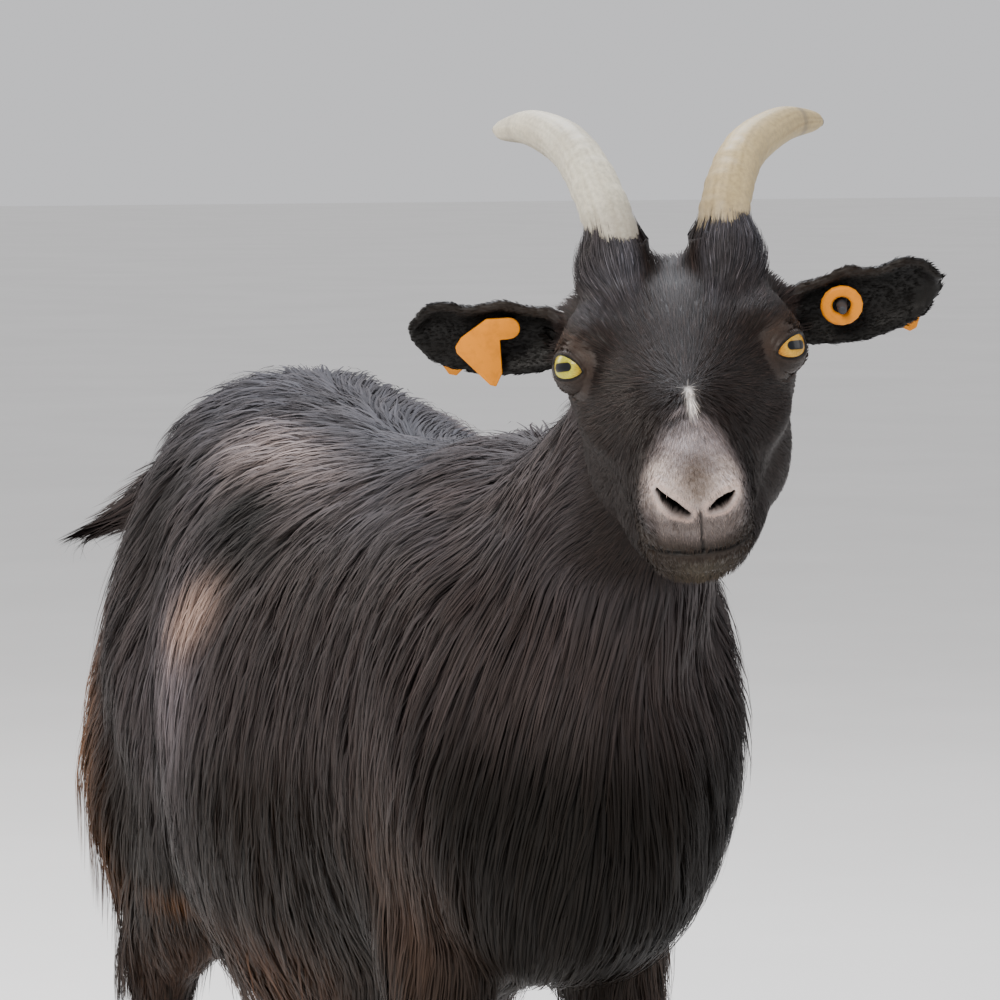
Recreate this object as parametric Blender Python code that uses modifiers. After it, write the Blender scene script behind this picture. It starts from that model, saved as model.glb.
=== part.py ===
"""A horned, long-coated goat standing with its head turned to its right, as a life-size still model.

Run with: blender --background --python part.py

Units are metres, +Z is up, and the goat faces -Y, so +X is its own left. The flesh is modelled whole, out
to the tips of its coat, from lofted sections and muscle-like ellipsoids that a voxel remesh joins. Thin
cuts then part it into head, neck, trunk, tail and legs. Eyes, horns, ears, claws and ear tags are solids
of their own.
"""

import math

import bmesh
import bpy
from mathutils import Euler, Matrix, Vector

# ---------------------------------------------------------------- driving dimensions
WITHERS = 0.645  # height of the coat over the shoulders
CHEST = 0.114  # half the width of the chest, coat included
HALF_LENGTH = 0.350  # half the length from the breast to the buttocks
HEAD_AT = Vector((-0.0200, -0.4550, 0.6618))  # middle of the head, level with the eyes
HEAD_YAW, HEAD_PITCH, HEAD_ROLL = math.radians(22), math.radians(20), math.radians(6)
EYE_RADIUS = 0.0145
GAP = 0.0004  # clearance between two solids that meet
CUT = 0.0008  # thickness of the cuts that part the flesh

# ---------------------------------------------------------------- quality
RING = 28  # points round a lofted section
STEPS = 4  # rings for each span between two given sections
VOXEL = 0.0045
FLESH_TRIANGLES = 3600
HEAD_FINENESS = 9000  # triangles that the whole flesh would have at the head's fineness
BELLY_LEVEL = 0.30  # the legs below it are spared the broad smoothing
SMOOTHING = (("broad", "broad", 8), ("fine", "", 3))  # modifier, vertex group, turns

MATERIALS = {
    "coat": ((0.020, 0.017, 0.018), 0.55, 0.0),
    "horn": ((0.46, 0.43, 0.36), 0.50, 0.0),
    "eye": ((0.72, 0.58, 0.20), 0.10, 0.0),
    "hoof": ((0.045, 0.040, 0.036), 0.45, 0.0),
    "tag": ((0.90, 0.38, 0.05), 0.40, 0.0),
    "pin": ((0.060, 0.055, 0.055), 0.40, 0.0),
}


# ---------------------------------------------------------------- helpers
def clear_scene():
    for ob in list(bpy.data.objects):
        bpy.data.objects.remove(ob, do_unlink=True)


def collection(name):
    made = bpy.data.collections.new(name)
    bpy.context.scene.collection.children.link(made)
    return made


def material(name):
    colour, roughness, metallic = MATERIALS[name]
    made = bpy.data.materials.new(name)
    made.use_nodes = True
    shader = made.node_tree.nodes["Principled BSDF"]
    shader.inputs["Base Color"].default_value = (*colour, 1.0)
    shader.inputs["Roughness"].default_value = roughness
    shader.inputs["Metallic"].default_value = metallic
    return made


def add_object(name, mesh, group, finish=None):
    ob = bpy.data.objects.new(name, mesh)
    group.objects.link(ob)
    if finish:
        mesh.materials.clear()
        mesh.materials.append(finish)
        mesh.shade_smooth()
        mesh.set_sharp_from_angle(angle=math.radians(40))
    return ob


def mesh_of(bm, name):
    bmesh.ops.recalc_face_normals(bm, faces=bm.faces)
    mesh = bpy.data.meshes.new(name)
    bm.to_mesh(mesh)
    bm.free()
    return mesh


def realised(ob):
    """A new mesh of the object as its modifiers leave it, in world space."""
    bpy.context.view_layer.update()
    depsgraph = bpy.context.evaluated_depsgraph_get()
    mesh = bpy.data.meshes.new_from_object(ob.evaluated_get(depsgraph))
    mesh.transform(ob.matrix_world)
    return mesh


def smooth_rows(rows, steps=STEPS):
    """Rows of numbers joined by a Catmull-Rom curve, each column by itself."""
    first = [2 * a - b for a, b in zip(rows[0], rows[1])]
    last = [2 * a - b for a, b in zip(rows[-1], rows[-2])]
    ends = [first, *rows, last]
    made = []
    for p, a, b, n in zip(ends, ends[1:], ends[2:], ends[3:]):
        for i in range(steps):
            t = i / steps
            made.append(
                [
                    0.5
                    * (
                        2 * y
                        + (z - x) * t
                        + (2 * x - 5 * y + 4 * z - w) * t * t
                        + (3 * y - x - 3 * z + w) * t**3
                    )
                    for x, y, z, w in zip(p, a, b, n)
                ]
            )
    return [*made, list(rows[-1])]


def rounded(value, power):
    return math.copysign(abs(value) ** power, value)


def loft(bm, rows, across=(1, 0, 0), square=1.0, steps=STEPS, ring=RING, facing=None):
    """A closed skin through sections (x, y, z, half width, rise above the line, drop below it).

    across is the way the widths run. square is 1 for ellipses, and under 1 for boxier sections. The
    sections stand square to their line, or to facing if that is given.
    """
    rows = smooth_rows(rows, steps)
    centres = [Vector(row[:3]) for row in rows]
    across = Vector(across)
    rings = []
    for i, row in enumerate(rows):
        ahead = centres[min(i + 1, len(rows) - 1)] - centres[max(i - 1, 0)]
        ahead = Vector(facing) if facing else ahead.normalized()
        side = (across - ahead * across.dot(ahead)).normalized()
        rise = side.cross(ahead)
        half, up, down = (max(size, 0.0005) for size in row[3:6])
        points = []
        for k in range(ring):
            angle = 2 * math.pi * k / ring
            wide = half * rounded(math.cos(angle), square)
            tall = (up if math.sin(angle) > 0 else down) * rounded(math.sin(angle), square)
            points.append(bm.verts.new(centres[i] + side * wide + rise * tall))
        rings.append(points)
    for one, two in zip(rings, rings[1:]):
        for k in range(ring):
            bm.faces.new((one[k], one[(k + 1) % ring], two[(k + 1) % ring], two[k]))
    bm.faces.new(rings[0][::-1])
    bm.faces.new(rings[-1])


def ellipsoid(bm, centre, radii, turn=(0, 0, 0), frame=None, fine=(20, 12)):
    """An ellipsoid, turned by Euler angles in degrees, placed in frame if that is given."""
    turn = Euler([math.radians(a) for a in turn]).to_matrix().to_4x4()
    place = Matrix.Translation(centre) @ turn @ Matrix.Diagonal((*radii, 1))
    bmesh.ops.create_uvsphere(
        bm,
        u_segments=fine[0],
        v_segments=fine[1],
        radius=1,
        matrix=frame @ place if frame else place,
    )


def head_frame():
    """Takes (left, forward, up) in the head, with forward along the muzzle, to the world."""
    yaw = Matrix.Rotation(-HEAD_YAW, 4, "Z")
    pitch = Matrix.Rotation(HEAD_PITCH, 4, "X")
    roll = Matrix.Rotation(-HEAD_ROLL, 4, "Y")
    facing = Matrix.Diagonal((1, -1, 1, 1))  # the muzzle points along -Y
    return Matrix.Translation(HEAD_AT) @ yaw @ pitch @ roll @ facing


HEAD_FRAME = head_frame()


def in_head(left, forward, up):
    return HEAD_FRAME @ Vector((left, forward, up))


# ---------------------------------------------------------------- flesh
def trunk(bm):
    """Barrel from the breast to the buttocks: (y, height of the widest line, half width, top, bottom)."""
    w, c, b = WITHERS, CHEST, HALF_LENGTH
    stations = (
        (-0.99 * b, 0.665 * w, 0.33 * c, 0.735 * w, 0.600 * w),
        (-0.90 * b, 0.665 * w, 0.66 * c, 0.850 * w, 0.520 * w),
        (-0.77 * b, 0.680 * w, 0.88 * c, 0.945 * w, 0.475 * w),
        (-0.57 * b, 0.695 * w, 1.00 * c, 0.985 * w, 0.455 * w),
        (-0.29 * b, 0.680 * w, 1.10 * c, 0.960 * w, 0.425 * w),
        (0.00 * b, 0.660 * w, 1.24 * c, 0.960 * w, 0.365 * w),
        (0.29 * b, 0.660 * w, 1.22 * c, 0.988 * w, 0.335 * w),
        (0.52 * b, 0.700 * w, 1.08 * c, 1.004 * w, 0.345 * w),
        (0.71 * b, 0.750 * w, 1.00 * c, 1.000 * w, 0.480 * w),
        (0.89 * b, 0.770 * w, 0.84 * c, 0.960 * w, 0.600 * w),
        (1.00 * b, 0.770 * w, 0.50 * c, 0.890 * w, 0.680 * w),
    )
    rows = [
        (0, y, wide_at, half, top - wide_at, wide_at - bottom)
        for y, wide_at, half, top, bottom in stations
    ]
    loft(bm, rows, square=0.92, facing=(0, 1, 0))


def neck(bm):
    """From deep in the chest up to the back of the head."""
    stations = (
        (0.000, -0.170, 0.500, 0.096, 0.086, 0.165),
        (0.001, -0.240, 0.545, 0.082, 0.072, 0.135),
        (0.004, -0.300, 0.592, 0.062, 0.057, 0.100),
        (0.002, -0.350, 0.634, 0.048, 0.045, 0.076),
        (-0.005, -0.392, 0.668, 0.044, 0.042, 0.060),
    )
    loft(bm, stations, across=(-1, 0, 0))


def skull(bm):
    """Upper face and lower jaw, as (forward, height of the widest line, half width, top, bottom)."""
    upper = (
        (-0.085, 0.000, 0.046, 0.036, -0.035),
        (-0.062, 0.006, 0.060, 0.052, -0.045),
        (-0.030, 0.012, 0.064, 0.062, -0.050),
        (0.000, 0.010, 0.058, 0.059, -0.052),
        (0.030, 0.002, 0.048, 0.051, -0.050),
        (0.060, -0.004, 0.039, 0.043, -0.048),
        (0.090, -0.010, 0.033, 0.034, -0.047),
        (0.115, -0.012, 0.031, 0.027, -0.045),
        (0.136, -0.010, 0.028, 0.018, -0.042),
        (0.148, -0.008, 0.018, 0.007, -0.026),
    )
    jaw = (
        (-0.058, -0.045, 0.034, -0.010, -0.080),
        (-0.030, -0.045, 0.043, 0.000, -0.094),
        (0.010, -0.045, 0.043, 0.000, -0.086),
        (0.050, -0.044, 0.039, -0.010, -0.070),
        (0.090, -0.041, 0.032, -0.020, -0.059),
        (0.120, -0.042, 0.026, -0.025, -0.058),
        (0.135, -0.043, 0.017, -0.033, -0.052),
    )
    for stations in (upper, jaw):
        local = bmesh.new()
        rows = [
            (0, ahead, wide_at, half, top - wide_at, wide_at - bottom)
            for ahead, wide_at, half, top, bottom in stations
        ]
        loft(local, rows, square=0.9, facing=(0, 1, 0))
        local.transform(HEAD_FRAME)
        copy = bpy.data.meshes.new("skull")
        local.to_mesh(copy)
        local.free()
        bm.from_mesh(copy)
        bpy.data.meshes.remove(copy)


def head_masses(bm):
    """Brow, cheek, nose and lip masses on each side: (left, forward, up), radii, turn in degrees."""
    paired = (
        ((0.0495, -0.006, 0.0275), (0.0170, 0.024, 0.0185), (0, 0, 0)),  # orbit
        ((0.0475, -0.010, 0.0460), (0.014, 0.024, 0.008), (0, 25, 0)),  # brow
        ((0.038, -0.012, -0.027), (0.0190, 0.042, 0.041), (0, 0, 0)),  # cheek muscle
        ((0.0405, 0.032, -0.003), (0.012, 0.040, 0.013), (0, 0, 22)),  # crest under the eye
        ((0.0165, 0.136, 0.001), (0.0125, 0.015, 0.0155), (0, 0, 0)),  # wing of the nostril
        ((0.018, 0.124, -0.025), (0.017, 0.020, 0.014), (0, 0, 0)),  # upper lip
        ((0.0310, -0.049, 0.058), (0.023, 0.027, 0.031), (0, 0, 0)),  # hair round the horn
        ((0.045, -0.060, 0.025), (0.023, 0.025, 0.021), (0, 0, 0)),  # root of the ear
    )
    for (left, ahead, up), radii, turn in paired:
        for side in (1, -1):
            turned = (turn[0], turn[1] * side, turn[2] * side)
            ellipsoid(bm, (side * left, ahead, up), radii, turned, HEAD_FRAME)
    ellipsoid(bm, (0, 0.120, -0.045), (0.020, 0.018, 0.013), frame=HEAD_FRAME)  # chin
    ellipsoid(bm, (0, -0.045, 0.026), (0.050, 0.048, 0.038), frame=HEAD_FRAME)  # forehead


FORE_LEG = (  # y, z, half width, half depth
    (-0.165, 0.430, 0.046, 0.078),
    (-0.170, 0.360, 0.041, 0.060),
    (-0.182, 0.300, 0.035, 0.045),
    (-0.194, 0.245, 0.027, 0.032),
    (-0.200, 0.205, 0.0245, 0.027),
    (-0.200, 0.172, 0.0205, 0.022),
    (-0.198, 0.125, 0.0165, 0.018),
    (-0.197, 0.092, 0.0185, 0.020),
    (-0.199, 0.074, 0.0215, 0.023),
    (-0.207, 0.050, 0.0200, 0.020),
    (-0.213, 0.030, 0.0195, 0.020),
)
HIND_LEG = (
    (0.232, 0.570, 0.030, 0.050),
    (0.236, 0.530, 0.046, 0.080),
    (0.236, 0.490, 0.058, 0.098),
    (0.222, 0.440, 0.068, 0.105),
    (0.200, 0.375, 0.058, 0.086),
    (0.226, 0.322, 0.048, 0.070),
    (0.258, 0.275, 0.037, 0.054),
    (0.290, 0.238, 0.0285, 0.037),
    (0.300, 0.205, 0.0245, 0.031),
    (0.292, 0.150, 0.0185, 0.022),
    (0.284, 0.098, 0.0190, 0.021),
    (0.280, 0.077, 0.0215, 0.023),
    (0.271, 0.052, 0.0200, 0.020),
    (0.264, 0.030, 0.0195, 0.020),
)
LEGS = {  # name: sections, side, distance from the middle, step forward (-) or back (+)
    "foreleg_left": (FORE_LEG, 1, 0.059, 0.012),
    "foreleg_right": (FORE_LEG, -1, 0.059, -0.014),
    "hindleg_left": (HIND_LEG, 1, 0.068, -0.016),
    "hindleg_right": (HIND_LEG, -1, 0.068, 0.050),
}
STEP_FROM = 0.36  # height over which a leg stays where the trunk holds it
HOCK = 8  # the section of HIND_LEG at the hock


def leg_line(name):
    """The leg's sections as (x, y, z, half width, half depth), its step taken below the elbow or stifle."""
    sections, side, apart, step = LEGS[name]
    made = []
    for y, z, half, deep in sections:
        share = max(0.0, 1 - z / STEP_FROM)
        made.append((side * apart, y + step * share, z, half, deep))
    return made


def legs(bm):
    for name in LEGS:
        rows = [(x, y, z, half, deep, deep) for x, y, z, half, deep in leg_line(name)]
        loft(bm, rows, across=(1, 0, 0))
    for name in ("hindleg_left", "hindleg_right"):
        x, y, z, _, _ = leg_line(name)[HOCK]
        heel = (x, y + 0.016, z + 0.012)
        ellipsoid(bm, heel, (0.014, 0.016, 0.024), (-25, 0, 0))  # point of the hock


BREECHES = (  # buttock and the long hair behind the thigh: x, y, z, half width, forward, back
    (0.042, 0.285, 0.590, 0.018, 0.030, 0.020),
    (0.053, 0.292, 0.535, 0.042, 0.060, 0.052),
    (0.062, 0.296, 0.470, 0.050, 0.075, 0.074),
    (0.072, 0.300, 0.400, 0.052, 0.080, 0.083),
    (0.077, 0.298, 0.340, 0.045, 0.075, 0.078),
    (0.077, 0.300, 0.290, 0.030, 0.055, 0.052),
    (0.075, 0.302, 0.255, 0.010, 0.020, 0.018),
)


def body_masses(bm):
    """Shoulder, upper arm, thigh and the long hair behind it, on each side, the udder and the brisket."""
    paired = (
        ((0.074, -0.215, 0.470), (0.042, 0.090, 0.120), (-22, 0, 0)),  # shoulder
        ((0.060, -0.205, 0.385), (0.040, 0.075, 0.055), (0, 0, 0)),  # upper arm
        ((0.076, 0.225, 0.460), (0.044, 0.095, 0.110), (15, 0, 0)),  # haunch
        ((0.068, 0.170, 0.585), (0.028, 0.040, 0.030), (0, 0, 0)),  # point of the hip
    )
    for side in (1, -1):
        for (x, y, z), radii, turn in paired:
            ellipsoid(bm, (side * x, y, z), radii, turn)
        loft(bm, [(side * x, *rest) for x, *rest in BREECHES])
    ellipsoid(bm, (0, 0.182, 0.272), (0.068, 0.086, 0.068))  # udder
    ellipsoid(bm, (0, -0.290, 0.400), (0.075, 0.055, 0.080))  # brisket


TAIL = (  # x, y, z, half width, rise, drop
    (0.000, 0.320, 0.570, 0.034, 0.026, 0.034),
    (-0.005, 0.362, 0.568, 0.029, 0.020, 0.034),
    (-0.018, 0.392, 0.558, 0.025, 0.019, 0.036),
    (-0.036, 0.414, 0.545, 0.019, 0.016, 0.028),
    (-0.055, 0.428, 0.532, 0.011, 0.010, 0.015),
    (-0.066, 0.434, 0.524, 0.004, 0.004, 0.004),
)


def beside_head(co):
    """Whether a point of the flesh belongs to the head or the upper neck, where the detail is finest."""
    return co.y < HEAD_AT.y + 0.09 and co.z > 0.55


def flesh(guides):
    """The whole body as one closed mesh, thinned to FLESH_TRIANGLES."""
    bm = bmesh.new()
    trunk(bm)
    neck(bm)
    skull(bm)
    head_masses(bm)
    legs(bm)
    body_masses(bm)
    loft(bm, TAIL, across=(1, 0, 0))
    rough = add_object("flesh_rough", mesh_of(bm, "flesh_rough"), guides)
    join = rough.modifiers.new("join", "REMESH")
    join.mode = "VOXEL"
    join.voxel_size = VOXEL
    whole = add_object("flesh_whole", realised(rough), guides)
    bpy.data.objects.remove(rough)
    broad = whole.vertex_groups.new(name="broad")
    for v in whole.data.vertices:
        spared = beside_head(v.co) or v.co.z < BELLY_LEVEL
        broad.add([v.index], 0.0 if spared else 1.0, "REPLACE")
    for name, group, turns in SMOOTHING:
        smooth = whole.modifiers.new(name, "SMOOTH")
        smooth.factor = 0.5
        smooth.iterations = turns
        smooth.vertex_group = group
    plain = whole.vertex_groups.new(name="plain")
    for v in whole.data.vertices:
        plain.add([v.index], 0.0 if beside_head(v.co) else 1.0, "REPLACE")
    thin = whole.modifiers.new("thin", "DECIMATE")
    thin.ratio = HEAD_FINENESS / (2 * len(whole.data.polygons))
    thinner = whole.modifiers.new("thinner", "DECIMATE")
    thinner.vertex_group = "plain"
    thinner.ratio = FLESH_TRIANGLES / HEAD_FINENESS
    made = add_object("flesh", realised(whole), guides)
    bpy.data.objects.remove(whole)
    return made


# ---------------------------------------------------------------- parting the flesh
LIMB_BOXES = {  # region of the flesh that makes each limb, for the left side: lowest and highest corners
    "foreleg": ((0.022, -0.275, -0.05), (0.200, -0.095, 0.372)),
    "hindleg": ((0.014, 0.120, -0.05), (0.250, 0.460, 0.452)),
}
TAIL_BOX = ((-0.3, 0.356, 0.508), (0.3, 0.6, 0.8))
NECK_CUT = ((0, -0.278, 0.545), -48)  # a point on the cut between trunk and neck, and its lean in degrees
HEAD_CUT = ((0.020, -0.335, 0.665), -38)


def block(name, low, high, guides):
    """A box between two corners, used to part the flesh."""
    bm = bmesh.new()
    middle = [(a + b) / 2 for a, b in zip(low, high)]
    size = [b - a for a, b in zip(low, high)]
    place = Matrix.Translation(middle) @ Matrix.Diagonal((*size, 1))
    bmesh.ops.create_cube(bm, size=1, matrix=place)
    return add_object(name, mesh_of(bm, name), guides)


def half_space(name, cut, ahead, guides):
    """A large box ahead of a cutting plane. ahead is how far its back face lies before the plane."""
    point, lean = cut
    reach = 0.35
    bm = bmesh.new()
    bmesh.ops.create_cube(bm, size=2 * reach)
    bmesh.ops.translate(bm, verts=bm.verts, vec=(0, -reach - ahead, 0))
    turn = Matrix.Rotation(math.radians(lean), 4, "X")
    bm.transform(Matrix.Translation(point) @ turn)
    return add_object(name, mesh_of(bm, name), guides)


def boolean(ob, cutter, operation):
    cut = ob.modifiers.new(operation.lower(), "BOOLEAN")
    cut.operation = operation
    cut.solver = "EXACT"
    cut.object = cutter


def piece_of(name, source, keep, cut, group, finish, guides):
    """The part of source inside every shape of keep and outside every shape of cut."""
    ob = add_object(name + "_rough", source.data.copy(), guides)
    for shape in keep:
        boolean(ob, shape, "INTERSECT")
    for shape in cut:
        boolean(ob, shape, "DIFFERENCE")
    mesh = realised(ob)
    mesh.name = name
    bpy.data.objects.remove(ob)
    return add_object(name, largest_body(mesh), group, finish)


def largest_body(mesh):
    """Drops the crumbs that a cut can leave beside a body, and closes the slits along straight edges."""
    bm = bmesh.new()
    bm.from_mesh(mesh)
    slits = [e for e in bm.edges if e.is_boundary]
    bmesh.ops.holes_fill(bm, edges=slits)
    left = set(bm.verts)
    bodies = []
    while left:
        seed = left.pop()
        found, edge = {seed}, [seed]
        while edge:
            v = edge.pop()
            for e in v.link_edges:
                other = e.other_vert(v)
                if other not in found:
                    found.add(other)
                    edge.append(other)
        left -= found
        bodies.append(found)
    bodies.sort(key=len)
    for crumbs in bodies[:-1]:
        bmesh.ops.delete(bm, geom=list(crumbs), context="VERTS")
    bm.to_mesh(mesh)
    bm.free()
    return mesh


def grown(ob, by, name, guides):
    """A copy of the object, larger by a clearance all over, for cutting its neighbours."""
    mesh = realised(ob)
    bm = bmesh.new()
    bm.from_mesh(mesh)
    bm.normal_update()
    for v in bm.verts:
        v.co += v.normal * by
    bm.to_mesh(mesh)
    bm.free()
    return add_object(name, mesh, guides)


def part_flesh(whole, hard, group, finish, guides):
    """Cuts the flesh into its named parts, with room for the hard pieces that sit in it."""
    boxes = {}
    for kind, (low, high) in LIMB_BOXES.items():
        for side, sign in (("left", 1), ("right", -1)):
            for name, grow in ((f"{kind}_{side}", 0), (f"{kind}_{side}_room", CUT)):
                x_low, x_high = sorted((sign * (low[0] - grow), sign * (high[0] + grow)))
                inner = (x_low, low[1] - grow, low[2])
                outer = (x_high, high[1] + grow, high[2] + grow)
                boxes[name] = block(name + "_region", inner, outer, guides)
    tail_low, tail_high = map(Vector, TAIL_BOX)
    boxes["tail"] = block("tail_region", tail_low + Vector((0, CUT, 0)), tail_high, guides)
    boxes["tail_room"] = block("tail_room_region", tail_low, tail_high, guides)
    ahead_neck = half_space("neck_region", NECK_CUT, CUT, guides)
    neck_room = half_space("neck_room_region", NECK_CUT, 0, guides)
    ahead_head = half_space("head_region", HEAD_CUT, CUT, guides)
    head_room = half_space("head_room_region", HEAD_CUT, 0, guides)
    limbs = [f"{kind}_{side}" for kind in LIMB_BOXES for side in ("left", "right")]
    made = {}
    for name in limbs:
        made[name] = piece_of(name, whole, [boxes[name]], hard[name], group, finish, guides)
    made["tail"] = piece_of("tail", whole, [boxes["tail"]], [], group, finish, guides)
    made["head"] = piece_of("head", whole, [ahead_head], hard["head"], group, finish, guides)
    made["neck"] = piece_of("neck", whole, [ahead_neck], [head_room], group, finish, guides)
    rooms = [boxes[name + "_room"] for name in (*limbs, "tail")]
    made["trunk"] = piece_of("trunk", whole, [], [*rooms, neck_room], group, finish, guides)
    return made


# ---------------------------------------------------------------- horns, ears, eyes, claws
HORN = (  # left, forward, up, half width, half depth
    (0.0270, -0.046, 0.056, 0.0130, 0.0165),
    (0.0296, -0.052, 0.077, 0.0136, 0.0172),
    (0.0338, -0.062, 0.091, 0.0134, 0.0165),
    (0.0400, -0.077, 0.103, 0.0128, 0.0151),
    (0.0476, -0.095, 0.110, 0.0119, 0.0137),
    (0.0573, -0.115, 0.111, 0.0110, 0.0122),
    (0.0710, -0.137, 0.109, 0.0092, 0.0099),
    (0.0860, -0.154, 0.102, 0.0056, 0.0060),
    (0.0910, -0.159, 0.099, 0.0024, 0.0025),
)
HORN_RISE = {"left": 0.87, "right": 1.07}  # the two horns stand a little unlike
HORN_TIP_LIFT = {"left": -0.001, "right": 0.005}
HORN_BOW = {"left": -0.0025, "right": 0.0}  # how far the middle of the horn stands out


def horn(name, side, group, finish):
    """A horn through the given sections, its rise from the base scaled for its side."""
    bm = bmesh.new()
    which = name.split("_")[1]
    base = HORN[0][2]
    rows = []
    for k, (x, y, z, half, deep) in enumerate(HORN):
        share = k / (len(HORN) - 1)
        out = x + HORN_BOW[which] * math.sin(math.pi * share) ** 2
        up = base + (z - base) * HORN_RISE[which] + HORN_TIP_LIFT[which] * share**4
        rows.append((side * out, y, up, half, deep, deep))
    loft(bm, rows, across=(1, 0, 0), steps=2, ring=8)
    bm.transform(HEAD_FRAME)
    return add_object(name, mesh_of(bm, name), group, finish)


EAR_ROOT = Vector((0.052, -0.060, 0.019))
EAR_TIP = Vector((0.147, -0.068, 0.027))
EAR_HALF = 0.0215  # half the ear's height at its widest
EAR_CUP = 0.016  # how far the middle lies behind the rims
EAR_THICK = 0.0050
EAR_WAVE = 0.0028  # how far the upper rim waves
EAR_GRID = (10, 7)


def ear_point(side, along, across):
    """A point of the ear's middle surface: along runs 0 to 1 from root to tip, across -1 to 1, up."""
    swell = math.sin(math.pi * min(1.0, 0.16 + 0.60 * along) ** 0.9)
    tip = max(0.0, (along - 0.80) / 0.20)
    half = EAR_HALF * (0.30 + 0.75 * swell) * math.sqrt(max(0.0, 1 - 0.93 * tip**2))
    cup = EAR_CUP * (1.25 - 0.75 * along) * (1 - across**2)
    droop = -0.004 * math.sin(math.pi * along)
    wave = EAR_WAVE * math.cos(2 * math.pi * (along - 0.45) / 0.37) * max(0.0, across) ** 2
    at = EAR_ROOT.lerp(EAR_TIP, along)
    at += Vector((0, -cup + 0.004 * across, across * half + droop + wave))
    return in_head(side * at.x, at.y, at.z)


def ear(name, side, thick, guides):
    """A cupped leaf with its hollow to the front, as thick as its skin and hair."""
    across_count, along_count = EAR_GRID[1], EAR_GRID[0]
    bm = bmesh.new()
    rows = []
    for i in range(along_count):
        row = []
        for k in range(across_count):
            across = math.sin(math.pi / 2 * (2 * k / (across_count - 1) - 1))
            row.append(bm.verts.new(ear_point(side, i / (along_count - 1), across)))
        rows.append(row)
    for one, two in zip(rows, rows[1:]):
        for k in range(across_count - 1):
            bm.faces.new((one[k], one[k + 1], two[k + 1], two[k]))
    leaf = add_object(name + "_leaf", mesh_of(bm, name), guides)
    skin = leaf.modifiers.new("thickness", "SOLIDIFY")
    skin.thickness = thick
    skin.offset = 0
    solid = add_object(name, realised(leaf), guides)
    bpy.data.objects.remove(leaf)
    return solid


EYE_AT = Vector((0.0530, 0.003, 0.0275))


def eye(name, side, group, finish):
    bm = bmesh.new()
    ellipsoid(bm, (side * EYE_AT.x, EYE_AT.y, EYE_AT.z), (EYE_RADIUS,) * 3, frame=HEAD_FRAME, fine=(12, 8))
    return add_object(name, mesh_of(bm, name), group, finish)


CLAW = (  # forward, height, half width, half length
    (0.000, 0.000, 0.0122, 0.0310),
    (0.000, 0.010, 0.0120, 0.0290),
    (-0.003, 0.024, 0.0112, 0.0245),
    (-0.007, 0.036, 0.0098, 0.0200),
)
CLAW_APART = 0.0130
CLAW_SIDES = 10
CLAW_HEEL = 0.85  # the claw's reach behind its middle, as a share of its reach in front
DEWCLAW_RADII = (0.0075, 0.0085, 0.0110)
DEWCLAW_AT = Vector((0.012, 0.033, 0.070))  # from the leg's line on the floor


def claw(name, x, y, group, finish):
    """One toe: a wedge with a flat sole, rounder behind than in front."""
    bm = bmesh.new()
    rings = []
    for ahead, up, half, long in CLAW:
        points = []
        for k in range(CLAW_SIDES):
            angle = 2 * math.pi * k / CLAW_SIDES
            reach = long * (1.0 if math.sin(angle) < 0 else CLAW_HEEL)
            wide = half * rounded(math.cos(angle), 0.8)
            deep = reach * rounded(math.sin(angle), 0.9)
            points.append(bm.verts.new((x + wide, y - ahead + deep, up)))
        rings.append(points)
    for one, two in zip(rings, rings[1:]):
        for k in range(CLAW_SIDES):
            bm.faces.new((one[k], one[(k + 1) % CLAW_SIDES], two[(k + 1) % CLAW_SIDES], two[k]))
    bm.faces.new(rings[0][::-1])
    bm.faces.new(rings[-1])
    return add_object(name, mesh_of(bm, name), group, finish)


def dewclaw(name, x, y, group, finish):
    bm = bmesh.new()
    ellipsoid(bm, (x, y, DEWCLAW_AT.z), DEWCLAW_RADII, (-20, 0, 0), fine=(8, 4))
    return add_object(name, mesh_of(bm, name), group, finish)


def hooves(group, finish):
    """Two claws and two dewclaws on each leg, as {leg: objects}."""
    made = {}
    for leg in LEGS:
        x, y, *_ = leg_line(leg)[-1]
        pieces = []
        for side, sign in (("outer", 1), ("inner", -1)):
            out = sign if x > 0 else -sign
            pieces.append(claw(f"claw_{leg}_{side}", x + out * CLAW_APART, y, group, finish))
            at = (x + out * DEWCLAW_AT.x, y + DEWCLAW_AT.y)
            pieces.append(dewclaw(f"dewclaw_{leg}_{side}", *at, group, finish))
        made[leg] = pieces
    return made


# ---------------------------------------------------------------- ear tags
PIN_RADIUS = 0.0030
BOSS_RADIUS = 0.0062
FLAG_THICK = 0.0020
FLAG_CLIP = 0.0030  # how much of a flag's far corners is clipped
FLAG_SHOULDER = 0.0070  # half a flag's width by its neck
BUTTON_RADIUS = 0.0117
TAGS = {  # ear: (side, along the ear, across it, lean of the flag behind the ear in degrees)
    "right": (-1, 0.42, 0.25, -28),
    "left": (1, 0.41, 0.02, -20),
}
FRONT_FLAG = (  # the plate that hangs turned in front of the right ear, as (outward, up) from the pin
    (0.0055, -0.0062),
    (0.0062, -0.0260),
    (0.0105, -0.0338),
    (0.0138, -0.0326),
    (0.0300, -0.0116),
    (0.0304, -0.0080),
    (0.0267, -0.0028),
    (0.0118, 0.0067),
)
FRONT_BOSS = (95, 271)  # from where to where the front flag's boss is round, in degrees
BACK_FLAGS = {  # ear: where the plate starts and ends, from the pin, and half its width
    "right": (0.0100, 0.0485, 0.0155),
    "left": (0.0100, 0.0482, 0.0150),
}
BACK_BOSS = (60, 301)
FRONT_LIES = 0.0030  # how far before the ear's own line the front flag lies
BACK_LIES = -0.0205
STUD_RISE = 0.0095  # how far the stud stands before the button
STUD_RADII = (0.0046, 0.0024)


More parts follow.
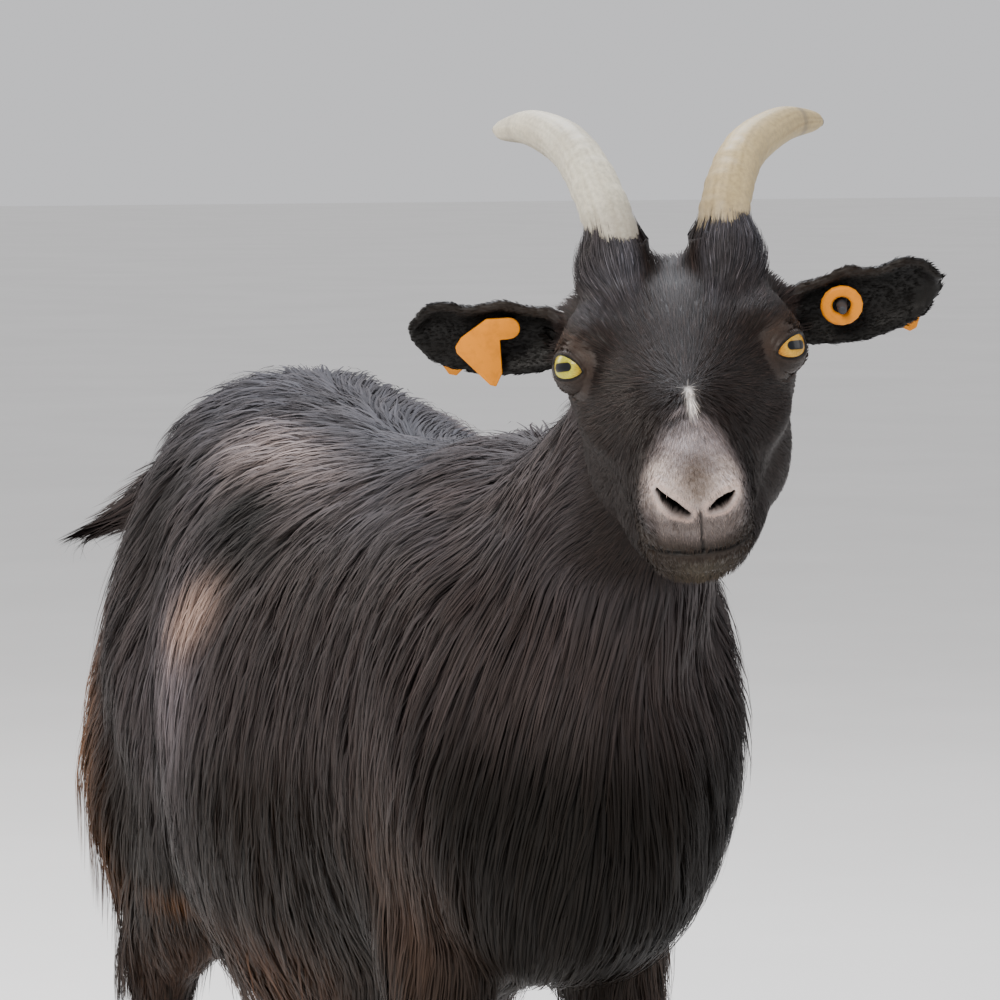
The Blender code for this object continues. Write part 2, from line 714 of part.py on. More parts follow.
def pin_place(ear_name):
    """Where the tag's pin runs through the ear, in the head, at the ear's line from root to tip."""
    side, along, across, _ = TAGS[ear_name]
    at = EAR_ROOT.lerp(EAR_TIP, along)
    at.z += across * EAR_HALF
    return side, Vector((side * at.x, at.y, at.z))


def pillar(bm, at, low, high, radius, top_radius=None, sides=16):
    """A round bar along the head's forward axis, from low to high beyond at."""
    turn = Matrix.Rotation(math.radians(-90), 4, "X")
    middle = Matrix.Translation(at + Vector((0, (low + high) / 2, 0)))
    bmesh.ops.create_cone(
        bm,
        cap_ends=True,
        segments=sides,
        radius1=radius,
        radius2=radius if top_radius is None else top_radius,
        depth=high - low,
        matrix=HEAD_FRAME @ middle @ turn,
    )


def boss_arc(first, last, count=9):
    """The round end of a tag about its pin, from one angle to another in degrees."""
    turns = [math.radians(first + (last - first) * k / (count - 1)) for k in range(count)]
    return [(BOSS_RADIUS * math.cos(a), BOSS_RADIUS * math.sin(a)) for a in turns]


def flag_outline(start, end, half):
    """Points round a tag: a boss at the origin, a neck, and a plate with clipped corners along +X."""
    lower = [(start, -FLAG_SHOULDER), (end - FLAG_CLIP, -half), (end, FLAG_CLIP - half)]
    upper = [(x, -z) for x, z in reversed(lower)]
    return [*boss_arc(*BACK_BOSS), *lower, *upper]


def flag(name, ear_name, outline, lean, lies, group, finish):
    side, at = pin_place(ear_name)
    angle = math.radians(lean)
    bm = bmesh.new()
    faces = []
    for depth in (lies, lies + FLAG_THICK):
        ring = []
        for x, z in outline:
            out = x * math.cos(angle) - z * math.sin(angle)
            up = x * math.sin(angle) + z * math.cos(angle)
            ring.append(bm.verts.new(in_head(at.x + side * out, at.y + depth, at.z + up)))
        faces.append(ring)
    low, high = faces
    bm.faces.new(low)
    bm.faces.new(high[::-1])
    for k in range(len(low)):
        after = (k + 1) % len(low)
        bm.faces.new((low[k], high[k], high[after], low[after]))
    return add_object(name, mesh_of(bm, name), group, finish)


def button(name, ear_name, lies, group, finish):
    """A round tag with a hole, its edges rounded."""
    _, at = pin_place(ear_name)
    inner, outer, thick = 0.0052, BUTTON_RADIUS, 0.0040
    edge = 0.0012
    profile = (
        (inner, 0),
        (outer - edge, 0),
        (outer, edge),
        (outer, thick - edge),
        (outer - edge, thick),
        (inner + edge, thick),
        (inner, thick - edge),
    )
    bm = bmesh.new()
    sides = 16
    rings = []
    for k in range(sides):
        angle = 2 * math.pi * k / sides
        across, up = math.cos(angle), math.sin(angle)
        ring = [
            bm.verts.new(in_head(at.x + r * across, at.y + lies + h, at.z + r * up))
            for r, h in profile
        ]
        rings.append(ring)
    for k in range(sides):
        one, two = rings[k], rings[(k + 1) % sides]
        for i in range(len(profile)):
            after = (i + 1) % len(profile)
            bm.faces.new((one[i], one[after], two[after], two[i]))
    return add_object(name, mesh_of(bm, name), group, finish)


def tags(group, tag_finish, pin_finish):
    """The pieces of both ear tags."""
    made = []
    for ear_name, (_, _, _, lean) in TAGS.items():
        name = f"tag_{ear_name}_back"
        outline = flag_outline(*BACK_FLAGS[ear_name])
        made.append(flag(name, ear_name, outline, lean, BACK_LIES, group, tag_finish))
    outline = [*boss_arc(*FRONT_BOSS), *FRONT_FLAG]
    made.append(flag("tag_right_flag", "right", outline, 0, FRONT_LIES, group, tag_finish))
    made.append(button("tag_left_button", "left", FRONT_LIES, group, tag_finish))
    back = BACK_LIES + FLAG_THICK + GAP
    for name, ear_name, high, radius, top in (
        ("tag_right_pin", "right", FRONT_LIES - GAP, PIN_RADIUS, PIN_RADIUS),
        ("tag_left_stud", "left", FRONT_LIES + STUD_RISE, *STUD_RADII),
    ):
        bm = bmesh.new()
        pillar(bm, pin_place(ear_name)[1], back, high, radius, top)
        made.append(add_object(name, mesh_of(bm, name), group, pin_finish))
    return made


# ---------------------------------------------------------------- the goat
def settle(objects):
    """Moves everything so that the origin is the middle of the box's bottom."""
    corners = [v.co for ob in objects for v in ob.data.vertices]
    low = [min(c[i] for c in corners) for i in range(3)]
    high = [max(c[i] for c in corners) for i in range(3)]
    move = Matrix.Translation((-(low[0] + high[0]) / 2, -(low[1] + high[1]) / 2, -low[2]))
    for ob in objects:
        ob.data.transform(move)


def main():
    clear_scene()
    goat = collection("goat")
    guides = collection("cutters")
    coat, horn_finish, eye_finish, hoof_finish, tag_finish, pin_finish = map(material, MATERIALS)
    whole = flesh(guides)
    claws = hooves(goat, hoof_finish)
    hard = {}
    for leg, pieces in claws.items():
        hard[leg] = [grown(piece, GAP, piece.name + "_room", guides) for piece in pieces]
    tag_pieces = tags(goat, tag_finish, pin_finish)
    hard["head"] = []
    for name, side in (("left", 1), ("right", -1)):
        for piece in (
            horn(f"horn_{name}", side, goat, horn_finish),
            eye(f"eye_{name}", side, goat, eye_finish),
            ear(f"ear_{name}_space", side, EAR_THICK + 3 * GAP, guides),
        ):
            hard["head"].append(grown(piece, GAP, piece.name + "_room", guides))
        rooms = [
            grown(tag, GAP, f"{tag.name}_room", guides)
            for tag in tag_pieces
            if f"tag_{name}" in tag.name
        ]
        leaf = ear(f"ear_{name}_whole", side, EAR_THICK, guides)
        piece_of(f"ear_{name}", leaf, [], rooms, goat, coat, guides)
    part_flesh(whole, hard, goat, coat, guides)
    settle(list(goat.objects))
    for cutter in guides.objects:
        cutter.hide_render = True
        cutter.display_type = "WIRE"


main()
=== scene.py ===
"""Looks of a life-size goat: one skin with its face, a coat of tufts, eyes, horns, claws and ear tags."""

import math

import bmesh
import bpy
import numpy as np
from mathutils import Matrix, Vector
from mathutils.bvhtree import BVHTree
from mathutils.kdtree import KDTree


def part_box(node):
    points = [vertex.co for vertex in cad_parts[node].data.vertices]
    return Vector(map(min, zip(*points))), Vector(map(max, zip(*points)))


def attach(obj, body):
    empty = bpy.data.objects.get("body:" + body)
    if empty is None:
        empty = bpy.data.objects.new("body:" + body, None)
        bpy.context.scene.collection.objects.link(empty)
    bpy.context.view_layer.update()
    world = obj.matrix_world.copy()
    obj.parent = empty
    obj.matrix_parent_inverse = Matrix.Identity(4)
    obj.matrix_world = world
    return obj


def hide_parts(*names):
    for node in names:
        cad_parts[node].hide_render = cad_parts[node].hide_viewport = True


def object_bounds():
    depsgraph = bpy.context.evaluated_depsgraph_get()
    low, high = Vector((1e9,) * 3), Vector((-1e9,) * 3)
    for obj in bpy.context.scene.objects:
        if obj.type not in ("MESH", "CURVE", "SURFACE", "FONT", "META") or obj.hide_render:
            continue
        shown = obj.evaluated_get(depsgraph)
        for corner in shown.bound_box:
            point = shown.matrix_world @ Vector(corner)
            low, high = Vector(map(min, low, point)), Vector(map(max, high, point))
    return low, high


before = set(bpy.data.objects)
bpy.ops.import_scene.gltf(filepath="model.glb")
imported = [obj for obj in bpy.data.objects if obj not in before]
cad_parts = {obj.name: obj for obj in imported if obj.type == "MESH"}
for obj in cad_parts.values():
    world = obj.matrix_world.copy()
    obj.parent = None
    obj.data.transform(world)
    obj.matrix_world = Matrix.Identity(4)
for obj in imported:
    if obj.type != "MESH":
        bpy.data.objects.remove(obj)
cad_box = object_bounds()
rng = np.random.default_rng(20)

FLESH = (
    "head", "neck", "trunk", "tail", "foreleg_left", "foreleg_right", "hindleg_left", "hindleg_right",
    "ear_left", "ear_right",
)
SIDES = (("left", 1), ("right", -1))
HEAD_TURNS = ((-22, "Z"), (20, "X"), (-6, "Y"))  # yaw, pitch and roll of the head, in degrees
EYE_MIDDLE = Vector((0, 0.003, 0.0275))  # between the eyes, as (left, forward, up) in the head
EYE_APART = 0.0530  # from the middle of the head to each eye
EYE_RADIUS = 0.0145
EYE_AXIS = Vector((0.734, 0.604, 0.310))  # the way the left eye opens
EYE_ALONG = (-0.604, 0.734, 0.03)  # from the left eye towards the nose, roughly square to it
LID_LENGTH, LID_HIGH, LID_LOW = math.radians(50), math.radians(24), math.radians(22)
LEFT_LID_LOWER = math.radians(4)  # the left upper lid hangs lower
LID_THICK = 0.0013
PUPIL_RISE = 0.30  # how far the bar of the pupil rises towards the nose, as it lies level
VOXEL = 0.0036  # of the hull
BODY_PITCH, HEAD_PITCH = 0.009, 0.0045  # of the grids of height over the hull
FARTHEST = 0.06  # from the hull that the height is measured
LONG_TUFTS, LOCKS, SHORT_TUFTS, LEG_TUFTS = 104000, 6500, 62000, 16000
MOST_TRIANGLES = 198000  # in one piece of the coat
TUFT_PLACE = 0.003  # a tuft's width and height in OFBake


# ---- small helpers
def smooth(low, high, value):
    """From 0 at low to 1 at high, eased at both ends."""
    t = np.clip((value - low) / (high - low), 0, 1)
    return t * t * (3 - 2 * t)


def distance(points, centre):
    """From each point to the centre."""
    return np.linalg.norm(points - centre, axis=1)


def bell(value, wide):
    """1 at 0, falling off over about wide to each side."""
    return np.exp(-((value / wide) ** 2))


def unit(v):
    return v / np.maximum(np.linalg.norm(v, axis=-1, keepdims=True), 1e-9)


def toward(a, b, share):
    """a, moved towards b."""
    return a + (b - a) * share


def mixed(a, b, share):
    """The same for colours and vectors."""
    return toward(a, b, share[..., None])


def columns(*parts):
    """Numbers and arrays side by side, as (n, parts)."""
    return np.stack(np.broadcast_arrays(*parts), -1)


def read(items, name, size, kind=np.float32):
    """One property of all the items, as (n, size)."""
    flat = np.empty(len(items) * size, kind)
    items.foreach_get(name, flat)
    return flat.reshape(-1, size)


def vertices_of(mesh):
    return read(mesh.vertices, "co", 3).astype(float)


def normals_of(mesh):
    return read(mesh.vertex_normals, "vector", 3).astype(float)


def place_vertices(mesh, points):
    mesh.vertices.foreach_set("co", points.astype(np.float32).ravel())
    mesh.update()


def attribute(mesh, name, values, kind="FLOAT_COLOR", part="color"):
    """Stores a colour (n, 3), a vector (n, 3) or a number (n,) for each vertex."""
    if values.ndim == 1:
        kind, part = "FLOAT", "value"
    elif kind == "FLOAT_COLOR":
        values = np.concatenate([values, np.ones((len(values), 1))], 1)
    mesh.attributes.new(name, kind, "POINT").data.foreach_set(part, values.astype(np.float32).ravel())


def mesh_of(bm, name):
    """The edited mesh as a new one."""
    mesh = bpy.data.meshes.new(name)
    bm.to_mesh(mesh)
    bm.free()
    return mesh


def surface_tree(mesh):
    return BVHTree.FromPolygons([v.co for v in mesh.vertices], [p.vertices for p in mesh.polygons])


def aim(ob, way):
    """Turns a camera or light to look along way."""
    ob.rotation_mode = "QUATERNION"
    ob.rotation_quaternion = way.to_track_quat("-Z", "Y")


def add(name, mesh, material=None):
    ob = bpy.data.objects.new(name, mesh)
    bpy.context.scene.collection.objects.link(ob)
    if material:
        mesh.materials.clear()
        mesh.materials.append(material)
    return ob


def realised(ob, name):
    bpy.context.view_layer.update()
    mesh = bpy.data.meshes.new_from_object(ob.evaluated_get(bpy.context.evaluated_depsgraph_get()))
    mesh.name = name
    bpy.data.objects.remove(ob)
    return mesh


def piece(ob, slot, *nodes):
    """Attaches a shown piece to the root and hides the CAD nodes it stands for; slot is not used."""
    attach(ob, "root")
    if nodes:
        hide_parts(*nodes)


# ---- the head's own frame
def between_eyes():
    """The point between the eyes, in the row's frame."""
    boxes = [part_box("eye_left"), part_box("eye_right")]
    return sum(((low + high) / 2 for low, high in boxes), Vector()) / 2


def head_frame():
    """Takes (left, forward, up) in the head to the row's frame."""
    turn = Matrix.Identity(4)
    for angle, axis in HEAD_TURNS:
        turn = turn @ Matrix.Rotation(math.radians(angle), 4, axis)
    turn = turn @ Matrix.Diagonal((1, -1, 1, 1))
    return Matrix.Translation(between_eyes() - turn @ EYE_MIDDLE) @ turn


HEAD = head_frame()
HEAD_AXES = np.array(HEAD.to_3x3())
HEAD_ORIGIN = np.array(HEAD.translation)


def eye_centre(side):
    return np.array((side * EYE_APART, EYE_MIDDLE.y, EYE_MIDDLE.z))


def in_head(points):
    return (points - HEAD_ORIGIN) @ HEAD_AXES


def from_head(vectors):
    return vectors @ HEAD_AXES.T


def out_of_head(points):
    return from_head(points) + HEAD_ORIGIN


# ---- camera
def camera():
    """A long lens ahead of the goat's right shoulder, as the photo was taken."""
    turn, rise, far = math.radians(-22), math.radians(5), 2.5
    zoom = 1.870  # frames to the metre at the eyes
    across, down = 0.680, 0.357  # where the point between the eyes lies, in shares of the frame
    back = Vector((math.sin(turn) * math.cos(rise), -math.cos(turn) * math.cos(rise), math.sin(rise)))
    right = Vector((math.cos(turn), math.sin(turn), 0))
    up = right.cross(-back)
    eyes = between_eyes() + back * 0.008
    data = bpy.data.cameras.new("camera")
    data.sensor_width = 36.0
    data.lens = zoom * far * data.sensor_width
    data.clip_end = 100
    ob = add("camera", data)
    ob.location = eyes + back * far - right * ((across - 0.5) / zoom) + up * ((down - 0.5) / zoom)
    aim(ob, -back)
    bpy.context.scene.camera = ob


# ---- regions of the body
class Places:
    """Shares, from 0 to 1, that say to which part of the goat each point belongs."""

    def __init__(self, points):
        self.local = in_head(points)
        left, ahead, up = self.local.T
        y, z = points.T[1:]
        near = smooth(-0.135, -0.105, up) * smooth(-0.16, -0.10, ahead)
        self.head = near * smooth(-0.095, -0.035, ahead)
        self.ear = near * smooth(0.062, 0.070, np.abs(left)) * (ahead < 0) * smooth(-0.03, -0.015, up)
        self.head = np.maximum(self.head, self.ear)
        self.poll = near * smooth(0.03, -0.03, ahead) * smooth(0.02, 0.05, up)
        self.tail = smooth(0.432, 0.446, y) * smooth(0.505, 0.515, z)
        fore = smooth(-0.02, -0.05, y) * smooth(0.330, 0.250, z)
        hind = smooth(0.20, 0.24, y) * smooth(0.300, 0.225, z)
        self.leg = np.maximum(fore, hind) * (1 - self.head)
        self.shin = self.leg * smooth(0.22, 0.17, z)
        self.neck = (1 - self.head) * smooth(-0.155, -0.215, y + 0.6 * (0.60 - z)) * smooth(0.40, 0.50, z)
        self.fringe = smooth(0.33, 0.39, y) * smooth(0.24, 0.29, z) * smooth(0.56, 0.50, z) * (1 - self.tail)
        self.muzzle = self.head * smooth(0.085, 0.125, ahead)


def coat_depth(at):
    """How far the skin lies under the tips of the coat."""
    depth = 0.0150
    of_head = 0.0018 + 0.0042 * smooth(-0.02, -0.08, at.local[:, 1])
    for wanted, share in (
        (0.0110, at.neck), (0.0080, at.tail), (0.0060, at.leg), (0.0022, at.shin),
        (of_head, at.head), (0.0006, np.maximum(at.ear, at.muzzle)),
    ):
        depth = toward(depth, wanted, share)
    return depth


# ---- the hull: flesh out to the tips of the coat
def joined_nodes(names):
    """Nodes as one closed mesh, the flesh and eyeballs filling each other's gaps."""
    bm = bmesh.new()
    for name in names:
        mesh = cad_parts[name].data.copy()
        points, normals = vertices_of(mesh), normals_of(mesh)
        by = 0.0 if name.startswith("eye") else 0.0007
        place_vertices(mesh, points + normals * by)
        bm.from_mesh(mesh)
        bpy.data.meshes.remove(mesh)
    bmesh.ops.remove_doubles(bm, verts=bm.verts, dist=1e-6)
    rough = add("hull_rough", mesh_of(bm, "hull_rough"))
    join = rough.modifiers.new("join", "REMESH")
    join.mode = "VOXEL"
    join.voxel_size = VOXEL
    join.use_smooth_shade = True
    return realised(rough, "hull")


def hull_mesh():
    """The flesh out to the tips of the coat, smoothed where it is broad."""
    mesh = joined_nodes((*FLESH, "eye_left", "eye_right"))
    ob = add("hull", mesh)
    at = Places(vertices_of(mesh))
    eye_near = np.zeros(len(mesh.vertices))
    for _, side in SIDES:
        eye_near = np.maximum(eye_near, smooth(0.024, 0.017, distance(at.local, eye_centre(side))))
    spared = np.maximum.reduce([at.ear, at.muzzle * 0.5, eye_near])
    for name, share, turns in (
        ("broad", (1 - at.head) * (1 - at.shin) * (1 - at.tail), 14),
        ("fine", 1 - spared, 5),
        ("least", 1 - 0.7 * np.maximum(at.ear, eye_near), 2),
    ):
        group = ob.vertex_groups.new(name=name)
        for i, weight in enumerate(share):
            group.add((i,), float(weight), "REPLACE")
        modifier = ob.modifiers.new(name, "SMOOTH")
        modifier.factor = 0.5
        modifier.iterations = turns
        modifier.vertex_group = name
    return realised(ob, "hull")


class Field:
    """Height over the hull, under it negative, with its gradient, on a regular grid."""

    def __init__(self, tree, low, high, pitch):
        self.low, self.pitch = np.array(low), pitch
        counts = np.ceil((np.array(high) - self.low) / pitch).astype(int) + 1
        axes = [self.low[i] + pitch * np.arange(counts[i]) for i in range(3)]
        grid = np.stack(np.meshgrid(*axes, indexing="ij"), -1).reshape(-1, 3)
        height = np.full(len(grid), FARTHEST)
        for i, point in enumerate(grid):
            hit, normal, _, reach = tree.find_nearest(point, FARTHEST)
            if hit is not None:
                away = (point[0] - hit[0]) * normal[0] + (point[1] - hit[1]) * normal[1]
                away += (point[2] - hit[2]) * normal[2]
                height[i] = reach if away > 0 else -reach
        self.height = height.reshape(counts)
        self.slope = np.stack(np.gradient(self.height, pitch), -1)
        self.last = counts - 2

    def at(self, points):
        """Height and outward direction at each point."""
        place = (points - self.low) / self.pitch
        cell = np.clip(np.floor(place).astype(int), 0, self.last)
        part = np.clip(place - cell, 0, 1)
        height, slope = 0.0, 0.0
        for corner in np.ndindex(2, 2, 2):
            share = np.prod(np.where(corner, part, 1 - part), axis=1)
            index = tuple((cell + corner).T)
            height = height + self.height[index] * share
            slope = slope + self.slope[index] * share[:, None]
        return height, unit(slope)


# ---- skin
MUZZLE_MIDDLE = 0.0033  # the muzzle hangs a little to the goat's left
NOSTRILS = {  # side: the line of the slit, as (out, up)
    1: ((0.0181, 0.0100), (0.0150, 0.0088), (0.0110, 0.0068), (0.0058, 0.0042)),
    -1: ((0.0206, 0.0138), (0.0170, 0.0102), (0.0125, 0.0064), (0.0060, 0.0024)),
}
NOSTRIL_HALF = (0.0009, 0.0021, 0.0026, 0.0012)


def nostril_distance(local):
    """Distance to the edge of the nearer nostril slit as seen from ahead: negative inside it."""
    best = np.full(len(local), 1.0)
    for side, line in NOSTRILS.items():
        seen = columns(side * (local[:, 0] - MUZZLE_MIDDLE), local[:, 2])
        for a, b, wide_a, wide_b in zip(line, line[1:], NOSTRIL_HALF, NOSTRIL_HALF[1:]):
            a, b = np.array(a), np.array(b)
            share = np.clip((seen - a) @ (b - a) / ((b - a) @ (b - a)), 0, 1)
            gap = distance(seen - a, share[:, None] * (b - a))
            best = np.minimum(best, gap - toward(wide_a, wide_b, share))
    return best + 0.02 * smooth(0.131, 0.123, local[:, 1])


def mouth_offset(local):
    """Height over the line of the mouth."""
    out = np.abs(local[:, 0] - MUZZLE_MIDDLE)
    return local[:, 2] + 0.0195 + 0.06 * (0.147 - local[:, 1]) - 2.0 * out**2


def mouth_reach(local):
    """1 along the mouth, 0 behind its corners."""
    return smooth(0.086, 0.100, local[:, 1])


def philtrum_share(local):
    across = bell(local[:, 0] - MUZZLE_MIDDLE, 0.0010)
    high = smooth(-0.0205, -0.0175, local[:, 2]) * smooth(0.0060, 0.0020, local[:, 2])
    return across * high * smooth(0.13, 0.137, local[:, 1])


def eye_angles(local, side):
    """Distance from the eye's middle, and the angles along the opening and up it, in radians."""
    axis, along, up = eye_axes(side)
    from_eye = local - eye_centre(side)
    reach = np.linalg.norm(from_eye, axis=1)
    way = from_eye / reach[:, None]
    ahead = way @ axis
    return reach, way, np.arctan2(way @ along, ahead), np.arcsin(np.clip(way @ up, -1, 1)), ahead


def eye_axes(side):
    """Outward, towards the nose, and up, at one eye."""
    axis = unit(np.array(EYE_AXIS) * (side, 1, 1))
    along = unit(np.array(EYE_ALONG) * (side, 1, 1))
    along = unit(along - axis * (along @ axis))
    return axis, along, np.cross(axis, along) * side


def lid_distance(local, side):
    """Distance outside the edge of the lids, along the eyeball, negative in the opening."""
    reach, way, along, up, ahead = eye_angles(local, side)
    round_ = np.clip(1 - (along / LID_LENGTH) ** 2, 0, 1) ** 0.62
    beyond = np.maximum(np.abs(along) - LID_LENGTH, 0)
    upper = up - (LID_HIGH - LEFT_LID_LOWER * (side > 0)) * round_
    lower = -up - LID_LOW * round_
    gap = np.maximum(upper, lower)
    gap = np.where(beyond > 0, np.hypot(beyond, np.maximum(gap, 0)), gap)
    gap = np.where(ahead < -0.2, 1.0, gap)
    beyond_ball = np.maximum(reach / EYE_RADIUS, 1) ** 2
    return gap * EYE_RADIUS * beyond_ball, reach, way, upper > lower


def lids(local):
    """Moves the skin round each eye: open over the ball, thick at the lids' edge, a fold along each lid."""
    made = local.copy()
    for _, side in SIDES:
        gap, reach, way, upper = lid_distance(local, side)
        edge = np.clip(gap * 1.8, -0.0030, LID_THICK)
        fold = np.where(upper, 0.0007, 0.0002) * bell(gap - np.where(upper, 0.0038, 0.0048), 0.0013)
        wanted = EYE_RADIUS + edge - fold
        keep = smooth(0.0020, 0.0100, gap)
        new = toward(wanted, np.maximum(reach, wanted), keep) - fold * keep
        near = (reach < 0.036) & (gap < 0.0130)
        made[near] = (eye_centre(side) + way * new[:, None])[near]
    return made


def face(local, out):
    """Displaces the skin of the head, of which out is the outward side: nostrils, mouth, chin, creases."""
    left, ahead, up = local.T
    aside = np.abs(left)
    slit = nostril_distance(local)
    made = local.copy()
    made[:, 1] -= 0.0105 * smooth(0.0003, -0.0016, slit)  # the nostrils go straight back
    narrow = 0.17 * bell(up + 0.030, 0.016) * smooth(0.085, 0.115, ahead)
    made[:, 0] -= (left - MUZZLE_MIDDLE) * narrow
    made[:, 2] += 0.62 * np.maximum(0, -0.033 - up) * smooth(0.070, 0.100, ahead)  # a shallower chin
    push = 0.0008 * bell(slit - 0.0022, 0.0016)  # the nostrils' rims
    over = mouth_offset(local)
    reach = mouth_reach(local) * (ahead > 0.08)
    push = push - 0.0020 * bell(over, 0.0010) * reach
    puff = reach * smooth(0.115, 0.135, ahead)  # the lips
    push = push + 0.0006 * bell(over - 0.0040, 0.0024) * puff + 0.0003 * bell(over + 0.0036, 0.0024) * puff
    push = push - 0.0014 * philtrum_share(local)
    push = push - 0.0009 * bell(over + 0.0110, 0.0030) * smooth(0.115, 0.130, ahead)  # crease over the chin
    groove = bell(aside - 0.030, 0.006) * bell(up - 0.012, 0.008)
    push = push - 0.0014 * (groove * smooth(0.015, 0.04, ahead) * smooth(0.11, 0.08, ahead))
    brow = bell(up - 0.050 + 0.10 * (aside - 0.045), 0.006) * smooth(0.030, 0.042, aside)
    push = push + 0.0014 * (brow * bell(ahead - 0.002, 0.020))
    under_eye = bell(up - 0.005, 0.012) * bell(ahead - 0.018, 0.026) * smooth(0.034, 0.044, aside)
    push = push + 0.0010 * under_eye
    return made + out * push[:, None]


def refined(mesh, wanted):
    """Splits the faces whose middle is wanted, and rounds the result there."""
    bm = bmesh.new()
    bm.from_mesh(mesh)
    middles = np.array([f.calc_center_median() for f in bm.faces])
    inside = wanted(in_head(middles))
    edges = {e for f, yes in zip(bm.faces, inside) if yes for e in f.edges}
    bmesh.ops.subdivide_edges(bm, edges=list(edges), cuts=1, use_grid_fill=True)
    bmesh.ops.triangulate(bm, faces=[f for f in bm.faces if len(f.verts) > 4])
    points = np.array([v.co for v in bm.verts])
    near = wanted(in_head(points))
    verts = [v for v, yes in zip(bm.verts, near) if yes]
    for _ in range(2):
        bmesh.ops.smooth_vert(bm, verts=verts, factor=0.5, use_axis_x=True, use_axis_y=True, use_axis_z=True)
    return mesh_of(bm, "skin")


def near_face(local):
    return (local[:, 1] > -0.035) & (local[:, 2] > -0.07) & (local[:, 1] < 0.2) & (np.abs(local[:, 0]) < 0.08)


def near_detail(local):
    eyes = np.zeros(len(local), bool)
    for _, side in SIDES:
        eyes |= distance(local, (side * 0.0560, 0.010, 0.0300)) < 0.0200
    return eyes | ((local[:, 1] > 0.112) & (local[:, 2] > -0.05) & (local[:, 1] < 0.2))


def skin_mesh(hull):
    """The hull pulled in by the coat's depth, with the face's detail."""
    mesh = refined(refined(hull, near_face), near_detail)
    points, normals = vertices_of(mesh), normals_of(mesh)
    at = Places(points)
    depth = coat_depth(at)
    for _, side in SIDES:
        depth = depth * smooth(0.0150, 0.0230, distance(at.local, eye_centre(side)))
    inner = points - normals * depth[:, None]
    local = in_head(inner)
    head = smooth(-0.10, -0.05, local[:, 1]) * smooth(-0.12, -0.10, local[:, 2])
    local = mixed(local, lids(face(local, unit(normals @ HEAD_AXES))), head)
    place_vertices(mesh, out_of_head(local))
    return mesh


# ---- markings with painted sheen and painted shade, shared by skin and coat
BLACK = np.array((0.0275, 0.0214, 0.0219))
BROWN_BLACK = np.array((0.0120, 0.0078, 0.0052))
RUSSET = np.array((0.110, 0.046, 0.018))
# painted sheen: a bluish reflection of the sky, laid on the top of the coat and on the hair of the poll
BLUE_GREY_SHEEN = np.array((0.056, 0.056, 0.067))
GREY_BROWN = np.array((0.290, 0.245, 0.245))
ROSY = np.array((0.260, 0.185, 0.158))
# painted sheen: lilac grey on the flanks
LILAC_SHEEN = np.array((0.125, 0.110, 0.125))
ORANGE_BROWN = np.array((0.260, 0.110, 0.035))
FROST = np.array((0.420, 0.350, 0.320))
LILAC = np.array((0.200, 0.170, 0.172))
WHITE = np.array((0.720, 0.680, 0.650))
LID_BROWN = np.array((0.055, 0.034, 0.024))
NOSE_BROWN = np.array((0.070, 0.050, 0.038))
CHIN = np.array((0.062, 0.052, 0.036))
# near black: painted shade inside the nostrils, in the line of the mouth and in the philtrum; also the lids'
# dark edge
INSIDE = np.array((0.0016, 0.0010, 0.0010))


PATCHES = (  # on the flanks, real colour among painted sheen and painted shade: hue, middle and spread along y and z, share, slant
    # lighter grey-brown over the back and hip: the coat's grey-brown tone with a painted highlight
    (GREY_BROWN * 0.55, 0.090, 0.605, 0.090, 0.030, 1.0, 0.0),
    (GREY_BROWN, 0.125, 0.612, 0.060, 0.026, 1.1, 0.0),
    # painted shade in the hollow under the hip
    (BLACK * 0.14, 0.112, 0.546, 0.046, 0.036, 1.6, 0.0),
    (BLACK * 0.30, 0.290, 0.550, 0.050, 0.050, 0.9, 0.0),
    # painted lilac sheen on the flank
    (LILAC_SHEEN * 0.45, 0.200, 0.430, 0.070, 0.080, 0.8, 0.0),
    (LILAC_SHEEN * 1.1, 0.160, 0.450, 0.044, 0.055, 0.95, 0.0),
    (ROSY * 1.1, 0.140, 0.494, 0.032, 0.022, 1.2, 0.75),
    # painted shade under the barrel and behind the foreleg, with the browner tone of the low coat
    (BROWN_BLACK * (0.6, 0.45, 0.3), 0.030, 0.365, 0.120, 0.055, 1.4, 0.0),
    (GREY_BROWN * (0.16, 0.12, 0.09), -0.140, 0.345, 0.040, 0.070, 0.9, 0.0),
    (RUSSET * 0.6, 0.100, 0.262, 0.080, 0.035, 0.7, 0.0),
    (ORANGE_BROWN * 0.3, 0.275, 0.284, 0.060, 0.006, 0.7, 0.0),
)


def waves(points, scale, seed):
    """Smooth noise between -1 and 1, from a few sine waves in turned directions."""
    draw = np.random.default_rng(seed)
    total = np.zeros(len(points))
    for _ in range(7):
        way = unit(draw.normal(size=3)) * scale * draw.uniform(0.6, 1.6)
        total += np.sin(points @ way + draw.uniform(0, 6.3))
    return total / 4.0


class Paint:
    """A colour at each point, with others laid over it by shares held between 0 and 1."""

    def __init__(self, colour):
        self.colour = colour

    def over(self, hue, share):
        self.colour = mixed(self.colour, hue, np.clip(share, 0, 1))


